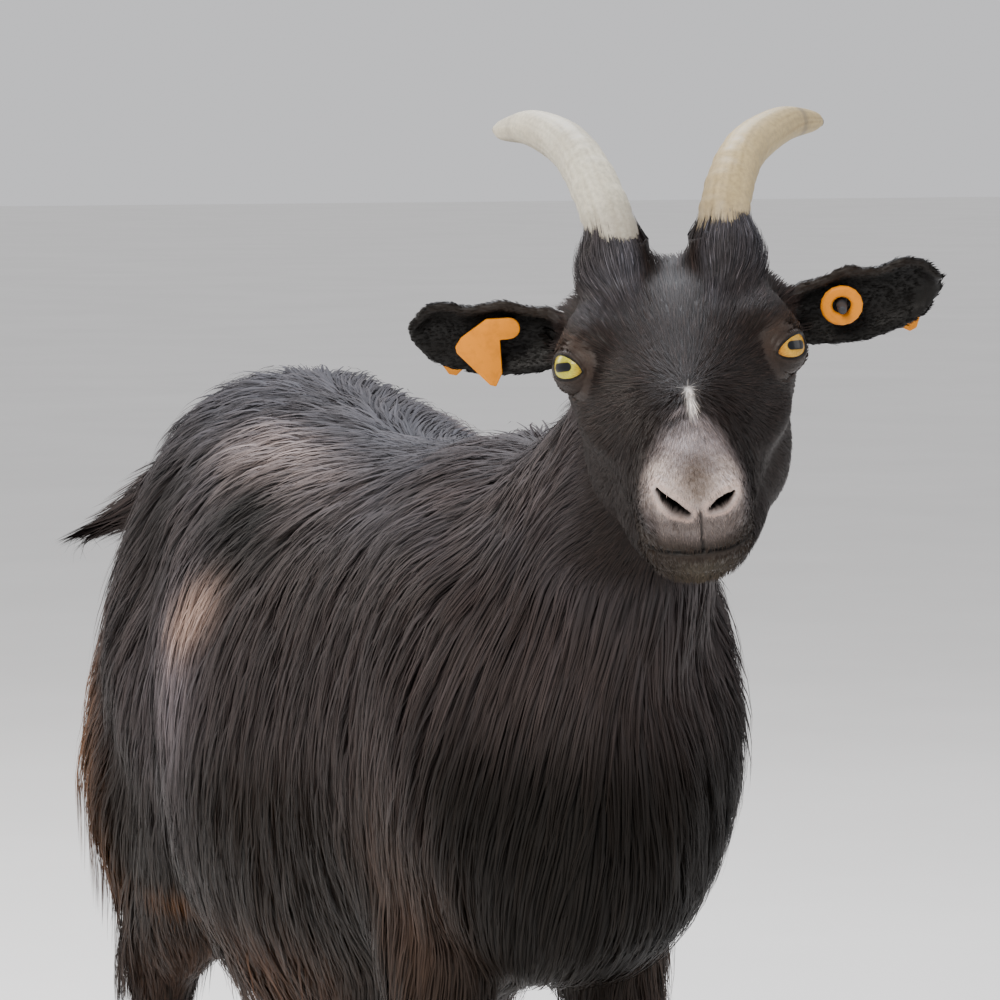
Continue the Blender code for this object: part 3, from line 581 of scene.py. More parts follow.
def markings_and_painted_light(points):
    """The coat's colour at each point: its markings, with painted sheen and painted shade laid over them."""
    at = Places(points)
    x, y, z = points.T
    left, ahead, up = at.local.T
    aside = np.abs(left - MUZZLE_MIDDLE)
    blotch = waves(points, 28, 3)
    paint = Paint(BLACK)
    body = 1 - at.head
    aside_body = smooth(0.04, 0.09, np.abs(x)) * body
    paint.over(BLACK * (0.47, 0.40, 0.34), at.head)
    # painted sheen: the bluish reflection of the sky on the top of the back and neck, kept off the crown
    crown_off = smooth(0.070, 0.120, distance(at.local, (0, -0.045, 0.065)))
    top_sheen = smooth(0.535, 0.620, z) * body * (1 - at.poll) * crown_off * (0.75 + 0.35 * blotch)
    paint.over(BLUE_GREY_SHEEN, top_sheen)
    # the lower body: browner hair, darkened further as painted shade under the barrel
    low = smooth(0.440, 0.330, z) * body
    paint.over(BROWN_BLACK * 0.8, low * (0.95 + 0.2 * blotch))
    chest = smooth(-0.16, -0.21, y) * smooth(0.50, 0.42, z) * body
    paint.over(BROWN_BLACK * 0.35, chest)
    # painted sheen: a dimmer, less blue lightening on the top of the neck and withers
    paint.over(BLACK * 1.4, 0.75 * smooth(-0.04, -0.10, y) * smooth(0.56, 0.60, z) * body)
    for hue, y_at, z_at, y_wide, z_wide, share, slant in PATCHES:
        spot = bell(y - y_at + slant * (z - z_at), y_wide) * bell(z - z_at, z_wide) * aside_body
        paint.over(hue, spot * (share + 0.35 * blotch * share))
    rear = at.fringe * smooth(0.345, 0.440, y) * smooth(0.50, 0.38, z)
    paint.over(ORANGE_BROWN * 0.8, rear * (0.85 + 0.3 * blotch))
    belly = smooth(0.285, 0.225, z) * smooth(0.02, 0.10, y) * (1 - at.shin)
    paint.over(RUSSET * 0.45, belly * (0.45 + 0.3 * blotch))
    # painted sheen: bluish grey on the hair of the poll between the horns
    tuft = at.poll * smooth(0.046, 0.062, up) * smooth(0.012, 0.022, np.abs(left))
    paint.over(BLUE_GREY_SHEEN * 1.2, tuft * (0.75 + 0.4 * waves(points, 90, 5)))
    paint.over(BROWN_BLACK * 1.5, 0.75 * at.ear)
    paint.over(BROWN_BLACK * 0.16, at.ear * smooth(-0.0590, -0.0650, ahead))  # inside the ear
    # the grey of the muzzle, with a darker place over the nose and the little white mark on the bridge
    grain = 0.14 * waves(points, 520, 7) + 0.10 * waves(points, 1500, 8)
    flare = np.minimum(0.0050 + 0.42 * np.maximum(ahead - 0.074, 0), 0.0185)
    bridge = smooth(0.074, 0.092, ahead + 0.03 * grain) * smooth(1.60, 0.30, aside / flare + 0.8 * grain)
    bridge = bridge * smooth(-0.004, 0.010, up) * at.head
    strength = 0.16 + 0.70 * smooth(0.086, 0.120, ahead)
    paint.over(LILAC * 1.55, bridge * (strength + 2.0 * grain))
    pad = smooth(0.124, 0.137, ahead + 0.02 * grain) * smooth(0.0262, 0.0195, aside)
    pad = pad * smooth(-0.020, -0.006, up) * smooth(0.031, 0.022, up) * at.head
    # shoulders: painted highlight at the upper corners of the nose pad, laid into its pale frosting
    shoulders = smooth(0.108, 0.124, ahead) * bell(aside - 0.019, 0.010) * bell(up - 0.017, 0.010) * at.head
    below = smooth(0.0115, 0.0, up)
    pad = np.maximum(pad * (1 - 0.78 * below), 0.95 * shoulders)
    paint.over(FROST * 1.12, pad * (0.92 + 1.4 * grain))
    cheek = smooth(0.105, 0.125, ahead) * smooth(0.034, 0.024, aside) * smooth(-0.026, -0.010, up)
    paint.over(LILAC * 0.65, cheek * (1 - pad) * at.head * (0.38 + 1.5 * grain))
    spot = bell(aside, 0.0100) * smooth(0.112, 0.124, ahead) * bell(up - 0.0170, 0.0105)
    paint.over(NOSE_BROWN, np.clip(spot * (0.90 + grain), 0, 1) * at.head)
    lips = at.muzzle * smooth(-0.006, -0.0175, up - 0.25 * (aside - 0.01))
    paint.over(BROWN_BLACK * 1.6, 0.95 * lips + 1.2 * grain * lips)
    jaw = at.muzzle * smooth(-0.022, -0.028, up) * smooth(0.120, 0.135, ahead) * bell(aside, 0.014)
    paint.over(CHIN, jaw * (0.55 + 1.5 * grain))
    mark = bell(left - 0.0034 - 0.05 * (ahead - 0.070), 0.0017) * smooth(0.067, 0.071, ahead)
    mark = mark * smooth(0.094, 0.080, ahead) * smooth(0.0, 0.02, up) * at.head
    paint.over(WHITE, mark * 1.3)
    for _, side in SIDES:
        ring = bell(distance(at.local, (side * 0.0610, 0.0105, 0.0300)) - 0.0145, 0.0050) * at.head
        ring = ring * (0.40 + 0.25 * smooth(0.028, 0.040, up))
        paint.over(LID_BROWN * 0.9, np.clip(ring * (1 + 2 * grain), 0, 1) * (1 - at.ear))
    return paint.colour


def skin_colour(points, base):
    """Markings with what only the bare skin shows: lid edges, nostrils, lips and the inside of the ears. The
    skin is darkened under the coat as painted shade, and near-black painted shade fills the nostrils, the
    line of the mouth and the philtrum's groove.
    """
    at = Places(points)
    paint = Paint(markings_and_painted_light(points))
    # painted shade: the skin darker under the coat, less so on the head and not on the muzzle
    paint.over(paint.colour * 0.75, (1 - at.muzzle) * (1 - 0.4 * at.head))
    slit = nostril_distance(base)
    nose = smooth(0.10, 0.12, base[:, 1])
    rim = bell(slit - 0.0022, 0.0012) * nose * smooth(-0.012, -0.002, base[:, 2])
    paint.over(FROST * (1.25, 1.02, 0.92), 0.40 * rim)
    # painted shade: near black inside the nostrils
    paint.over(INSIDE, smooth(0.0003, -0.0006, slit) * nose)
    over = mouth_offset(base)
    paint.over(BROWN_BLACK, 0.9 * bell(over - 0.0010, 0.0034) * mouth_reach(base) * at.head)
    # painted shade: near black in the line of the mouth and in the groove of the philtrum
    paint.over(INSIDE, 0.95 * bell(over, 0.0012) * mouth_reach(base) * at.head)
    paint.over(INSIDE * 2, 0.8 * philtrum_share(base))
    for _, side in SIDES:
        gap, reach, _, _ = lid_distance(base, side)
        near = (reach < 0.03).astype(float)
        paint.over(LID_BROWN * 0.6, 0.5 * smooth(0.007, 0.002, gap) * near)
        paint.over(INSIDE, smooth(0.0021, 0.0011, gap) * near)
    return paint.colour


# ---- the lie of the coat
WHORL = np.array((0.003, 0.069, 0.040))  # on the bridge of the nose, in the head
HORN_ROOTS = np.array((0.0295, -0.052, 0.072))


def lie_of_coat(points, out):
    """The way the hair points, along the surface."""
    at = Places(points)
    x, y, z = points.T
    left, ahead, up = at.local.T
    side = x / (np.abs(x) + 0.012)
    top = smooth(0.52, 0.62, z)
    way = columns(side * (0.15 + 0.8 * top), 0.13 + 1.1 * top, -1.0)
    sway = waves(points * (1, 1, 0.45), 20, 11) + 0.6 * waves(points * (1, 1, 0.6), 55, 12)
    way[:, 1] += 0.22 * sway
    thigh = smooth(0.16, 0.26, y) * smooth(0.60, 0.50, z)
    way[:, 1] += 0.25 * thigh * smooth(0.44, 0.36, y)
    way = mixed(way, columns(0.25 * side, 0.30 + 0.12 * sway, -1.0), at.neck)
    way = mixed(way, (0.0, 0.06, -1.0), at.leg)
    way = mixed(way, (-0.45, 0.62, -0.55), at.tail)
    away = at.local - WHORL
    away[:, 2] += 0.25 * np.maximum(0.0, 0.03 - ahead) * (up > 0.02)
    away[:, 0] *= 1 - 0.25 * (smooth(0.060, 0.030, ahead) * smooth(0.020, 0.045, up))
    sign = np.sign(left)
    cheek = smooth(0.0, -0.06, ahead) * smooth(0.03, 0.0, up)
    radial = mixed(unit(away), unit(columns(0.3 * sign, -0.7, -0.6)), cheek)
    root = columns(np.abs(left), ahead, up) - HORN_ROOTS
    collar = smooth(0.034, 0.020, np.linalg.norm(root * (1, 1, 0.8), axis=1)) * smooth(0.035, 0.055, up)
    radial = mixed(radial, columns(0.10 * sign, -0.35, 0.93), collar)
    radial = mixed(radial, columns(sign, -0.10, 0.12), at.ear)
    way = mixed(unit(way), from_head(radial), at.head)
    way = way - out * 0.92 * np.sum(way * out, axis=1, keepdims=True)
    return unit(way)


def fall_of_hair(points):
    """The way loose hair hangs: down, and out to the goat's right at the tail."""
    tail = Places(points).tail[:, None]
    return unit(np.array((0.0, 0.10, -1.0)) * (1 - tail) + np.array((-0.80, 0.22, -0.35)) * tail)


# ---- tufts
def tuft_lines(field, roots, length, lift, steps, free=False):
    """Centre lines of tufts that keep to the hull, (count, steps + 1, 3), and the outward side there."""
    floor, out = field.at(roots)
    height = floor
    depth = np.where(floor < 0, np.maximum(-floor, 0.0010), 0.0007)
    over = np.maximum(floor, 0)
    loose = np.zeros(len(roots)) + free
    at, lines, outs = roots, [roots], [out]
    for k in range(1, steps + 1):
        t = k / steps
        falls = loose * smooth(-0.004, 0.004, height)
        way = unit(mixed(lie_of_coat(at, out), fall_of_hair(at), falls))
        at = at + way * (length / steps)[:, None]
        height, out = field.at(at)
        wanted = floor - 0.7 * over * t + depth * lift * (1 - (1 - t) ** 2.2) + 0.004 * loose * t
        held = np.where(loose > 0, 0.0008, 0.012)
        at = at + out * np.clip(wanted - height, -held, 0.012)[:, None]
        lines.append(at)
        outs.append(out)
    return np.stack(lines, 1), np.stack(outs, 1)


def sound(lines, field, most, least_bend):
    """Tufts that neither kink nor stray further than most from the hull."""
    way = unit(np.diff(lines, axis=1))
    bend = np.sum(way[:, 1:] * way[:, :-1], axis=2).min(1)
    height = np.stack([field.at(lines[:, k])[0] for k in range(1, lines.shape[1])], 1).max(1)
    above = np.maximum(field.at(lines[:, 0])[0], 0)
    return (bend > least_bend) & (height - above < most)


def gather(lines, roots, centres, hold):
    """Draws the tips of the tufts of one lock together, towards its middle tuft."""
    tree = KDTree(len(centres))
    for i, c in enumerate(centres):
        tree.insert(roots[c], i)
    tree.balance()
    mine = np.array([tree.find(p)[1] for p in roots])
    guide = lines[centres[mine]]
    t = np.linspace(0, 1, lines.shape[1])[None, :, None]
    share = hold[centres[mine]][:, None, None] * t**1.2
    return toward(lines, guide, share), mine


def tuft_mesh(name, lines, outs, colour, uv, half, turn):
    """Flat tapered ribbons along the lines, each with rounded shading and its own small place in OFBake."""
    count, levels, _ = lines.shape
    along = unit(np.gradient(lines, axis=1))
    across = unit(np.cross(along, outs))
    tilt = turn[:, None, None]
    across = across * np.cos(tilt) + np.cross(along, across) * np.sin(tilt)
    t = np.linspace(0, 1, levels)
    taper = np.sqrt(np.clip(1 - t, 0, 1)) * (0.55 + 0.45 * np.sin(np.pi * np.minimum(1, t * 1.5 + 0.1)))
    wide = across * half[:, None, None] * taper[None, :, None]
    left, right = lines - wide, lines + wide
    body = np.stack([left[:, :-1], right[:, :-1]], 2).reshape(count, -1, 3)
    points = np.concatenate([body, lines[:, -1:]], 1)
    flat, aslant = outs[:, :-1] * 0.9, across[:, :-1] * 0.32
    lean = np.stack([flat - aslant, flat + aslant], 2)
    normal = np.concatenate([lean.reshape(count, -1, 3), outs[:, -1:]], 1)
    size = 2 * (levels - 1) + 1
    faces = []
    for a in range(0, size - 3, 2):
        faces += [(a, a + 1, a + 3), (a, a + 3, a + 2)]
    faces.append((size - 3, size - 2, size - 1))
    triangles = (np.array(faces)[None] + size * np.arange(count)[:, None, None]).reshape(-1, 3)
    mesh = bpy.data.meshes.new(name)
    mesh.vertices.add(count * size)
    mesh.vertices.foreach_set("co", points.astype(np.float32).ravel())
    mesh.loops.add(triangles.size)
    mesh.loops.foreach_set("vertex_index", triangles.astype(np.int32).ravel())
    mesh.polygons.add(len(triangles))
    mesh.polygons.foreach_set("loop_start", np.arange(0, triangles.size, 3, dtype=np.int32))
    mesh.update(calc_edges=True)
    mesh.shade_smooth()
    step = np.concatenate([np.repeat(t[:-1], 2), [1.0]])
    aside = np.concatenate([np.tile((0.0, 1.0), levels - 1), [0.5]])
    place = uv[:, None, :] + TUFT_PLACE * (columns(aside, step)[None] - 0.5)
    layer = mesh.uv_layers.new(name="OFBake")
    layer.data.foreach_set("uv", place.reshape(-1, 2)[triangles.ravel()].astype(np.float32).ravel())
    if colour.ndim == 2:
        colour = np.repeat(colour, size, axis=0)
    else:
        colour = np.concatenate([np.repeat(colour[:, :-1], 2, axis=1), colour[:, -1:]], 1).reshape(-1, 3)
    attribute(mesh, "coat", colour)
    attribute(mesh, "along", np.tile(step, count))
    drawn = np.repeat(rng.uniform(0, 60, count), size)
    strand = columns(np.tile(aside * 3.2, count) + drawn, np.tile(step * 0.7, count), drawn)
    attribute(mesh, "strand", strand, "FLOAT_VECTOR", "vector")
    mesh.normals_split_custom_set_from_vertices(unit(normal).reshape(-1, 3).astype(np.float32))
    return mesh


class Sampler:
    """Picks roots over the skin's triangles, with the place of each in the unwrap."""

    def __init__(self, mesh):
        mesh.calc_loop_triangles()
        triangles = mesh.loop_triangles
        self.uv = read(mesh.uv_layers["OFBake"].data, "uv", 2)[read(triangles, "loops", 3, np.int32)]
        self.corners = vertices_of(mesh)[read(triangles, "vertices", 3, np.int32)]
        edges = self.corners[:, 1:] - self.corners[:, :1]
        self.area = np.linalg.norm(np.cross(edges[:, 0], edges[:, 1]), axis=1) / 2
        self.middle = self.corners.mean(1)

    def pick(self, density, count):
        """count roots, spread by density, a number for each triangle."""
        weight = self.area * density
        chosen = rng.choice(len(weight), count, p=weight / weight.sum())
        a, b = rng.random((2, count))
        flip = a + b > 1
        a, b = np.where(flip, 1 - a, a), np.where(flip, 1 - b, b)
        share = columns(1 - a - b, a, b)[:, :, None]
        return (self.corners[chosen] * share).sum(1), (self.uv[chosen] * share).sum(1)


def bare(points):
    """1 where no hair grows: eye openings, nostrils, lips' edges; 0 elsewhere."""
    local = in_head(points)
    none = smooth(0.0030, 0.0014, nostril_distance(local)) * (local[:, 1] > 0.1)
    mouth = bell(mouth_offset(local) - 0.0008, 0.0014) * mouth_reach(local)
    none = np.maximum(none, mouth * (local[:, 2] > -0.06))
    none = np.maximum(none, 0.95 * smooth(0.2, 0.6, philtrum_share(local)))
    for _, side in SIDES:
        gap, reach, _, _ = lid_distance(local, side)
        none = np.maximum(none, smooth(0.0020, 0.0008, gap) * (reach < 0.03))
    return none


def join_tufts(name, lines, outs, colour, uv, half, most_turn, material, field, free, height):
    """The sound tufts as joined meshes, none too large, taken in order along the body."""
    turn = rng.uniform(-most_turn, most_turn, len(lines))
    keep = sound(lines, field, np.where(free, 0.050, height), np.where(free, -0.2, 0.45))
    print(name, len(keep), "tufts,", int(keep.sum()), "kept")
    tufts = [each[keep] for each in (lines, outs, colour, uv, half, turn)]
    order = np.argsort(tufts[0][:, 0, 1], kind="stable")
    pieces = math.ceil(len(order) * (2 * lines.shape[1] - 3) / MOST_TRIANGLES)
    for i, part in enumerate(np.array_split(order, pieces)):
        label = name if pieces == 1 else f"{name}_{i + 1}"
        mesh = tuft_mesh(label, *(each[part] for each in tufts))
        piece(add(label, mesh, material), "coat")


def long_coat(sampler, field, material, count=LONG_TUFTS):
    """The long straight hair of neck, trunk, thighs and tail, drawn into locks."""
    at = Places(sampler.middle)
    density = (1 - at.head) * (1 - at.shin * 0.98) * (1 + 0.8 * smooth(0.4, 0.5, at.neck))
    density = density * (1 - 0.5 * at.leg) * (1 - smooth(0.0, 0.25, at.poll))
    roots, uv = sampler.pick(density, count)
    at = Places(roots)
    y, z = roots.T[1:]
    length = 0.050 + 0.040 * smooth(0.63, 0.52, z) * (1 - at.leg)
    low = smooth(0.310, 0.285, z) * (1 - at.fringe) * (1 - at.leg)
    under = smooth(0.310, 0.285, z) * smooth(-0.02, 0.06, y) * smooth(0.26, 0.13, y)
    length = length + 0.040 * at.fringe - 0.012 * at.neck + 0.010 * under
    length = toward(toward(length, 0.024, at.leg), 0.085, at.tail)
    length = length * (1 - 0.6 * at.poll) * (1 - 0.55 * low * smooth(0.10, 0.24, y))
    length = length * rng.uniform(0.65, 1.15, count)
    lift = rng.uniform(0.35, 1.0, count)
    lift = np.where(rng.random(count) < 0.04, 1.25, lift)
    draw = rng.random(count)
    free = (draw < 0.55 * at.fringe * smooth(0.46, 0.38, z)) | (draw < 0.8 * under) | (draw < 0.7 * at.tail)
    lift = np.where(free, 1.35, lift)
    lines, outs = tuft_lines(field, roots, length, lift, 5, free)
    centres = rng.choice(count, LOCKS, replace=False)
    hold = rng.uniform(0.25, 0.70, count)
    lines, lock = gather(lines, roots, centres, hold)
    shade = rng.normal(0, 0.08, count) + rng.normal(0, 0.15, LOCKS)[lock]
    colour = markings_and_painted_light(lines.reshape(-1, 3)).reshape(lines.shape) * np.exp(shade)[:, None, None]
    half = rng.uniform(0.00095, 0.00170, count)
    join_tufts("coat_long", lines, outs, colour, uv, half, 0.35, material, field, free, 0.006)


def short_coat(sampler, field, material, count=SHORT_TUFTS):
    """The short hair of the head and ears."""
    at = Places(sampler.middle)
    density = smooth(0.05, 0.5, np.maximum(at.head, at.poll)) * (1 - bare(sampler.middle))
    density = density * (1 + smooth(-0.04, 0.03, at.local[:, 1]))
    roots, uv = sampler.pick(density, count)
    at = Places(roots)
    left, ahead, up = at.local.T
    length = 0.0088 - 0.0060 * smooth(0.09, 0.125, ahead)
    length = length * (0.55 + 0.45 * smooth(0.006, 0.016, distance(at.local, WHORL)))
    length = length + 0.0045 * smooth(0.02, -0.03, ahead)
    crown = bell(np.abs(left) - 0.052, 0.016) * bell(ahead + 0.050, 0.024) * smooth(0.034, 0.046, up)
    length = length + 0.0025 * np.maximum(crown, at.poll * smooth(0.03, 0.015, np.abs(left)))
    beard = smooth(-0.045, -0.053, up) * smooth(0.085, 0.105, ahead)
    length = toward(length + 0.0024 * beard, 0.0026, at.ear)
    near = 1.0  # shorter near the lids
    for _, side in SIDES:
        near = near * (0.35 + 0.65 * smooth(0.002, 0.010, lid_distance(at.local, side)[0]))
    length = length * near * rng.uniform(0.7, 1.25, count)
    lift = rng.uniform(0.45, 1.05, count) + crown * rng.uniform(0.0, 0.3, count)
    lift = lift * (1 - 0.55 * smooth(0.075, 0.100, ahead)) + beard * rng.uniform(0, 0.25, count)
    lines, outs = tuft_lines(field, roots, length, lift, 3)
    spread = 0.18 + 0.24 * smooth(-0.01, 0.02, up) * smooth(0.08, 0.05, ahead) * (1 - at.ear) - 0.10 * at.ear
    colour = markings_and_painted_light(roots) * np.exp(rng.normal(0, 1, count) * spread)[:, None]
    half = rng.uniform(0.00022, 0.00042, count) * (1 + 0.5 * smooth(0.02, -0.06, ahead))
    join_tufts("coat_short", lines, outs, colour, uv, half, 0.5, material, field, beard > 0.3, 0.0032)


def leg_coat(sampler, field, material, count=LEG_TUFTS):
    """The short hair below the elbows and hocks."""
    at = Places(sampler.middle)
    roots, uv = sampler.pick(smooth(0.05, 0.4, at.leg) * (1 - at.head), count)
    length = (0.018 - 0.006 * Places(roots).shin) * rng.uniform(0.7, 1.2, count)
    lift = rng.uniform(0.4, 1.1, count)
    lines, outs = tuft_lines(field, roots, length, lift, 3)
    colour = markings_and_painted_light(roots) * np.exp(rng.normal(0, 0.18, count))[:, None]
    half = rng.uniform(0.0005, 0.0009, count)
    join_tufts("coat_legs", lines, outs, colour, uv, half, 0.5, material, field, False, 0.006)


# ---- materials
class Nodes:
    """A material's node tree, with short ways to add to it."""

    def __init__(self, name):
        self.material = bpy.data.materials.new(name)
        self.material.use_nodes = True
        self.tree = self.material.node_tree
        self.shader = self.tree.nodes["Principled BSDF"]

    def new(self, kind, **settings):
        node = self.tree.nodes.new(kind)
        for key, value in settings.items():
            setattr(node, key, value)
        return node

    def link(self, a, b):
        self.tree.links.new(a, b)

    def set(self, **values):
        for key, value in values.items():
            self.shader.inputs[key.replace("_", " ")].default_value = value

    def fill(self, socket, value):
        """A number, a colour or another node's output into a socket."""
        if isinstance(value, (int, float)):
            socket.default_value = value
        elif isinstance(value, tuple):
            socket.default_value = (*value, 1)
        else:
            self.link(value, socket)

    def math(self, operation, *values):
        node = self.new("ShaderNodeMath", operation=operation)
        for socket, value in zip(node.inputs, values):
            self.fill(socket, value)
        return node.outputs[0]

    def length(self, a, b):
        """The length of the vector (a, b)."""
        return self.math("SQRT", self.math("ADD", self.math("MULTIPLY", a, a), self.math("MULTIPLY", b, b)))

    def attribute(self, name, output="Color"):
        return self.new("ShaderNodeAttribute", attribute_name=name).outputs[output]

    def noise_at(self, where, scale, detail, rough=0.5):
        node = self.new("ShaderNodeTexNoise")
        for key, value in (("Scale", scale), ("Detail", detail), ("Roughness", rough), ("Vector", where)):
            self.fill(node.inputs[key], value)
        return node.outputs["Fac"]

    def noise(self, scale, detail=3.0, stretch=None):
        """Noise in the object's own coordinates, stretched if wanted."""
        where = self.new("ShaderNodeTexCoord").outputs["Object"]
        if stretch:
            mapping = self.new("ShaderNodeMapping")
            mapping.inputs["Scale"].default_value = stretch
            self.link(where, mapping.inputs["Vector"])
            where = mapping.outputs["Vector"]
        return self.noise_at(where, scale, detail, 0.6)

    def ramp(self, value, *stops):
        node = self.new("ShaderNodeValToRGB")
        ramp = node.color_ramp
        while len(ramp.elements) < len(stops):
            ramp.elements.new(0.5)
        for element, (at, colour) in zip(ramp.elements, stops):
            element.position = at
            element.color = (*colour, 1)
        self.link(value, node.inputs["Fac"])
        return node.outputs["Color"]

    def mix(self, share, a, b, blend="MIX"):
        node = self.new("ShaderNodeMix", data_type="RGBA", blend_type=blend)
        factor = [s for s in node.inputs if s.name == "Factor" and s.type == "VALUE"][0]
        colours = [s for s in node.inputs if s.type == "RGBA"]
        for socket, value in zip((factor, *colours), (share, a, b)):
            self.fill(socket, value)
        return [s for s in node.outputs if s.type == "RGBA"][0]

    def times(self, colour, value, *stops):
        """The colour times a ramp over the value."""
        return self.mix(1.0, colour, self.ramp(value, *stops), "MULTIPLY")

    def look(self, colour, value=None, *stops):
        """The shader's colour, and its roughness as a ramp over the value."""
        self.link(colour, self.shader.inputs["Base Color"])
        if stops:
            self.link(self.ramp(value, *stops), self.shader.inputs["Roughness"])

    def bump(self, height, strength, distance):
        node = self.new("ShaderNodeBump")
        for key, value in (("Strength", strength), ("Distance", distance), ("Height", height)):
            self.fill(node.inputs[key], value)
        self.link(node.outputs["Normal"], self.shader.inputs["Normal"])


def grey(value):
    return (value, value, value)


def coat_material(name, root_shade, shine, gloss=0.48):
    """Straight glossy hair in fine strands: darker at its root as painted shade, a little browner and lighter
    at its tip.
    """
    n = Nodes(name)
    along = n.attribute("along", "Fac")
    tip = (1.30, 1.18, 1.06)
    colour = n.times(n.attribute("coat"), along, (0.0, grey(root_shade)), (0.35, grey(0.95)), (1.0, tip))
    strands = n.noise_at(n.attribute("strand", "Vector"), 1.5, 2)
    colour = n.times(colour, strands, (0.32, grey(0.60)), (0.55, grey(1.0)), (0.72, grey(1.6)))
    n.look(colour, strands, (0.3, grey(gloss + 0.16)), (0.7, grey(gloss)))
    n.set(Specular_IOR_Level=shine)
    return n.material


def skin_material():
    n = Nodes("skin")
    pores = n.noise(1400, 3.0)
    colour = n.times(n.attribute("coat"), pores, (0.25, grey(0.72)), (0.8, grey(1.25)))
    n.look(colour, n.noise(500, 2.0), (0.3, grey(0.42)), (0.7, grey(0.62)))
    n.set(Specular_IOR_Level=0.22)
    n.bump(pores, 0.35, 0.0004)
    return n.material


def eye_material():
    """Gold iris with fine spokes, a dark rim and a level bar of a pupil, under a wet cornea."""
    n = Nodes("eye")
    parts = n.new("ShaderNodeSeparateXYZ")
    n.link(n.attribute("gaze", "Vector"), parts.inputs[0])
    along, up, _ = parts.outputs
    radius = n.length(along, up)
    pupil = n.length(n.math("MAXIMUM", n.math("SUBTRACT", n.math("ABSOLUTE", along), 0.245), 0.0), up)
    turned = n.new("ShaderNodeCombineXYZ")
    n.link(n.math("MULTIPLY", n.math("ARCTAN2", up, along), 9.0), turned.inputs[0])
    n.link(n.math("MULTIPLY", radius, 5.0), turned.inputs[1])
    spokes = n.noise_at(turned.outputs[0], 1.6, 4)
    iris = n.times(
        n.attribute("coat"), radius, (0.10, (0.62, 0.62, 0.55)), (0.40, (1.05, 1.05, 1.0)),
        (0.62, (0.92, 0.72, 0.40)), (0.76, (0.30, 0.17, 0.10)), (0.82, (0.020, 0.014, 0.012)),
    )
    iris = n.times(iris, spokes, (0.3, grey(0.55)), (0.7, grey(1.2)))
    edge = n.new("ShaderNodeMapRange")
    for key, value in (("From Min", 0.150), ("From Max", 0.185), ("Value", pupil)):
        n.fill(edge.inputs[key], value)
    n.look(n.mix(edge.outputs["Result"], (0.004, 0.005, 0.007), iris))
    n.set(Roughness=0.30, Specular_IOR_Level=0.15, Coat_Weight=0.45, Coat_Roughness=0.02, Coat_IOR=1.34)
    return n.material


def horn_material():
    """Dry keratin: fine lengthwise grain, faint rings, darker tip and base."""
    n = Nodes("horn")
    grain = n.attribute("grain", "Fac")
    deep = (0.80, 0.78, 0.75)
    colour = n.times(n.attribute("coat"), grain, (0.0, deep), (0.5, grey(0.98)), (1.0, grey(1.10)))
    flecks = n.noise(420, 4.0)
    colour = n.times(colour, flecks, (0.32, grey(0.80)), (0.62, grey(1.08)))
    n.look(colour, flecks, (0.3, grey(0.42)), (0.7, grey(0.62)))
    n.bump(n.math("ADD", grain, n.math("MULTIPLY", flecks, 0.6)), 0.5, 0.0004)
    return n.material


def hoof_material():
    n = Nodes("hoof")
    rings = n.noise(60, 3.0, (1, 1, 8))
    grain = n.noise(220, 4.0, (4, 4, 1))
    dark, brown, pale = (0.028, 0.022, 0.018), (0.070, 0.056, 0.045), (0.130, 0.105, 0.082)
    colour = n.ramp(rings, (0.25, dark), (0.6, brown), (0.85, pale))
    colour = n.times(colour, grain, (0.3, grey(0.7)), (0.7, grey(1.2)))
    n.look(colour, grain, (0.3, grey(0.40)), (0.7, grey(0.62)))
    n.bump(n.math("ADD", rings, n.math("MULTIPLY", grain, 0.5)), 0.5, 0.0006)
    return n.material


def plastic(name, colour, worn, rough):
    """Moulded plastic with dirt and fine scuffs."""
    n = Nodes(name)
    dirt = n.noise(160, 4.0)
    base = n.mix(n.ramp(dirt, (0.45, grey(0.0)), (0.75, grey(0.55))), colour, worn)
    n.look(base, n.noise(900, 2.0), (0.3, grey(rough)), (0.7, grey(rough + 0.18)))
    n.set(Specular_IOR_Level=0.25)
    n.bump(dirt, 0.15, 0.0003)
    return n.material


# ---- eyes, horns, claws, tags
IRIS = {"left": np.array((0.56, 0.31, 0.035)), "right": np.array((0.46, 0.43, 0.045))}


def eyes(material):
    """Eyeballs with a raised cornea, turned a little further out than the lids open."""
    for name, side in SIDES:
        bm = bmesh.new()
        bmesh.ops.create_uvsphere(bm, u_segments=64, v_segments=40, radius=1)
        mesh = mesh_of(bm, f"eye_{name}_ball")
        way = vertices_of(mesh)  # the cornea looks along Z here
        cornea = 0.075 * smooth(0.74, 1.0, way[:, 2])
        axis, along, up = eye_axes(side)
        look = unit(axis + along * 0.06 + up * 0.02)
        level = unit(along + up * PUPIL_RISE)
        across = unit(level - look * (level @ look))
        rise = np.cross(look, across) * side
        local = way @ np.stack([across, rise, look])
        local = eye_centre(side) + local * (EYE_RADIUS - 0.0002) * (1 + cornea * 0.6)[:, None]
        place_vertices(mesh, out_of_head(local))
        if side > 0:
            mesh.flip_normals()
        mesh.shade_smooth()
        attribute(mesh, "gaze", way, "FLOAT_VECTOR", "vector")
        attribute(mesh, "coat", np.tile(IRIS[name], (len(way), 1)))
        piece(add(f"eye_{name}_ball", mesh, material), "eye", f"eye_{name}")


